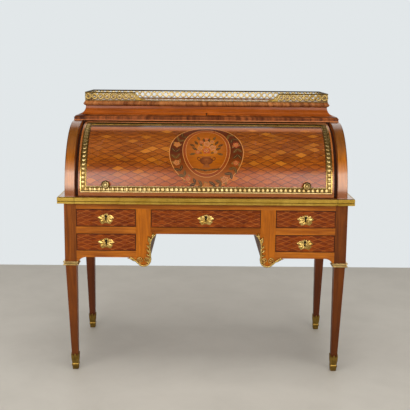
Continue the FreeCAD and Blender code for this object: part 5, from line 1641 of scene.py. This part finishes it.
def makeInnerDrawers(look):
    for name in ("inner_drawer_left", "inner_drawer_right"):
        low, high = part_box(f"{name}_front")
        edge, front = look["edge"], high.y - look["boardThick"]
        ease = edge * look["ease"]
        points = []
        for inset, y in ((0.0, high.y), (0.0, front + edge), (ease, front + ease), (edge, front)):
            left, right, foot, head = low.x + inset, high.x - inset, low.z + inset, high.z - inset
            points += [(left, y, foot), (right, y, foot), (right, y, head), (left, y, head)]
        board = (points, capped(4, 4))
        spot = Vector(((low.x + high.x) / 2, front, (low.z + high.z) / 2))
        knob = moved(turnedForm(look["knob"], 32), knobPlace(spot, Vector((0, -1, 0)), Vector((1, 0, 0))))
        kinds = [0] * len(board[1]) + [1] * len(knob[1])
        addPiece(f"{name}_face", joined([board, knob]), ["nestVeneer", "giltBronze"], name, [f"{name}_front"],
                 "inner_wood", kinds=kinds)


makeInnerDrawers(innerDrawer)
print("mounts and inner drawers made")


studio = {  # tones of the wall behind, of the dim room in front and of its ceiling, as light
    "floor": (208, 205, 198), "floorRub": (200, 197, 190), "wall": (226, 231, 233),
    "floorX": 4.5, "floorNear": -4.5, "floorFar": 1.54, "floorRough": 0.55, "floorWear": (3.0, 0.3, 0.75),
    "wallEdge": (-0.05, 0.05), "ceilingRise": (0.2, 0.7),
    "wallLight": (0.95, 0.95, 0.94, 1.0), "roomLight": (0.188, 0.162, 0.13, 1.0),
    "ceilingLight": (0.1, 0.088, 0.068, 1.0), "wallLean": -0.85,
}


def makeStudio(look):
    x, near, far = look["floorX"], look["floorNear"], look["floorFar"]
    mesh = newMesh("floor", [(-x, near, 0), (x, near, 0), (x, far, 0), (-x, far, 0)], [], [(0, 1, 2, 3)])
    material, tree, sockets = newFinish("paleFloor", look["floorRough"])
    rub = worn(tree, objectCoords(tree), *look["floorWear"])
    feed(tree, sockets["Base Color"], mixed(tree, rub, look["floor"], look["floorRub"]))
    mesh.materials.append(material)
    newObject("floor", mesh)
    world = bpy.data.worlds.new("studio")
    bpy.context.scene.world = world
    world.use_nodes = True
    tree = world.node_tree
    light = tree.nodes["Background"]
    way = axes(tree, newNode(tree, "ShaderNodeTexCoord").outputs["Generated"])
    leaning = calc(tree, "MULTIPLY_ADD", way[2], look["wallLean"], way[1])
    behind = step(tree, leaning, *look["wallEdge"])
    tone = mixed(tree, step(tree, way[2], *look["ceilingRise"]), look["roomLight"], look["ceilingLight"])
    feed(tree, light.inputs["Color"], mixed(tree, behind, tone, look["wallLight"]))
    light.inputs["Strength"].default_value = 1.0
    backdrop = wired(tree, "ShaderNodeBackground", {"Color": fromScreen(*look["wall"])})
    rays = newNode(tree, "ShaderNodeLightPath").outputs["Is Camera Ray"]
    choice = wired(tree, "ShaderNodeMixShader", {0: rays, 1: light.outputs[0], 2: backdrop[0]})
    feed(tree, tree.nodes["World Output"].inputs["Surface"], choice[0])


lampTint = (1.0, 0.97, 0.92)
lamps = [  # name, place, what it faces, width, height, power; only the panes show in the polish
    ("leftWindow", (-3.4, -4.4, 2.5), (-0.1, -0.2, 0.8), 1.6, 2.2, 44.0),
    ("rightWindow", (3.4, -4.4, 2.5), (0.1, -0.2, 0.8), 1.6, 2.2, 38.0),
    ("leftPane", (-1.75, -6.2, 2.3), (-0.3, 0.0, 0.9), 2.0, 3.7, 122.0),
    ("rightPane", (1.75, -6.2, 2.3), (0.3, 0.0, 0.9), 2.0, 3.7, 108.0),
    ("ceiling", (0.0, -0.6, 4.2), (0.0, 0.0, 0.6), 3.2, 2.4, 74.0),
]


def makeLamps(rows):
    for name, place, target, width, height, power in rows:
        data = bpy.data.lights.new(name, "AREA")
        data.shape = "RECTANGLE"
        data.size, data.size_y, data.energy = width, height, power
        data.color = lampTint
        lamp = newObject(name, data)
        lamp.location = place
        lamp.rotation_euler = (Vector(target) - Vector(place)).to_track_quat("-Z", "Y").to_euler()
        lamp.visible_glossy = "Pane" in name


view = {  # fitted to the photo: place in metres, angles in degrees, focal length and frame in pixels
    "place": (-0.0191, -3.6788, 1.3358), "pitch": 10.094, "yaw": 0.251, "roll": 0.521, "focal": 819.1,
    "frame": 410, "sensor": 36.0,
}


def makeCamera(look):
    pitch, yaw, roll = (radians(look[name]) for name in ("pitch", "yaw", "roll"))
    ahead = Vector((sin(yaw) * cos(pitch), cos(yaw) * cos(pitch), -sin(pitch)))
    right = Vector((cos(yaw), -sin(yaw), 0.0))
    up = right.cross(ahead)
    side = right * cos(roll) + up * sin(roll)
    above = up * cos(roll) - right * sin(roll)
    data = bpy.data.cameras.new("photoView")
    data.sensor_width = look["sensor"]
    data.lens = look["focal"] / look["frame"] * look["sensor"]
    camera = newObject("photoView", data)
    turn = Matrix((side, above, -ahead)).transposed().to_4x4()
    camera.matrix_world = Matrix.Translation(look["place"]) @ turn
    bpy.context.scene.camera = camera


makeStudio(studio)
makeLamps(lamps)
makeCamera(view)
bpy.context.scene.view_settings.view_transform = "Standard"
bpy.context.view_layer.update()
print("studio ready")
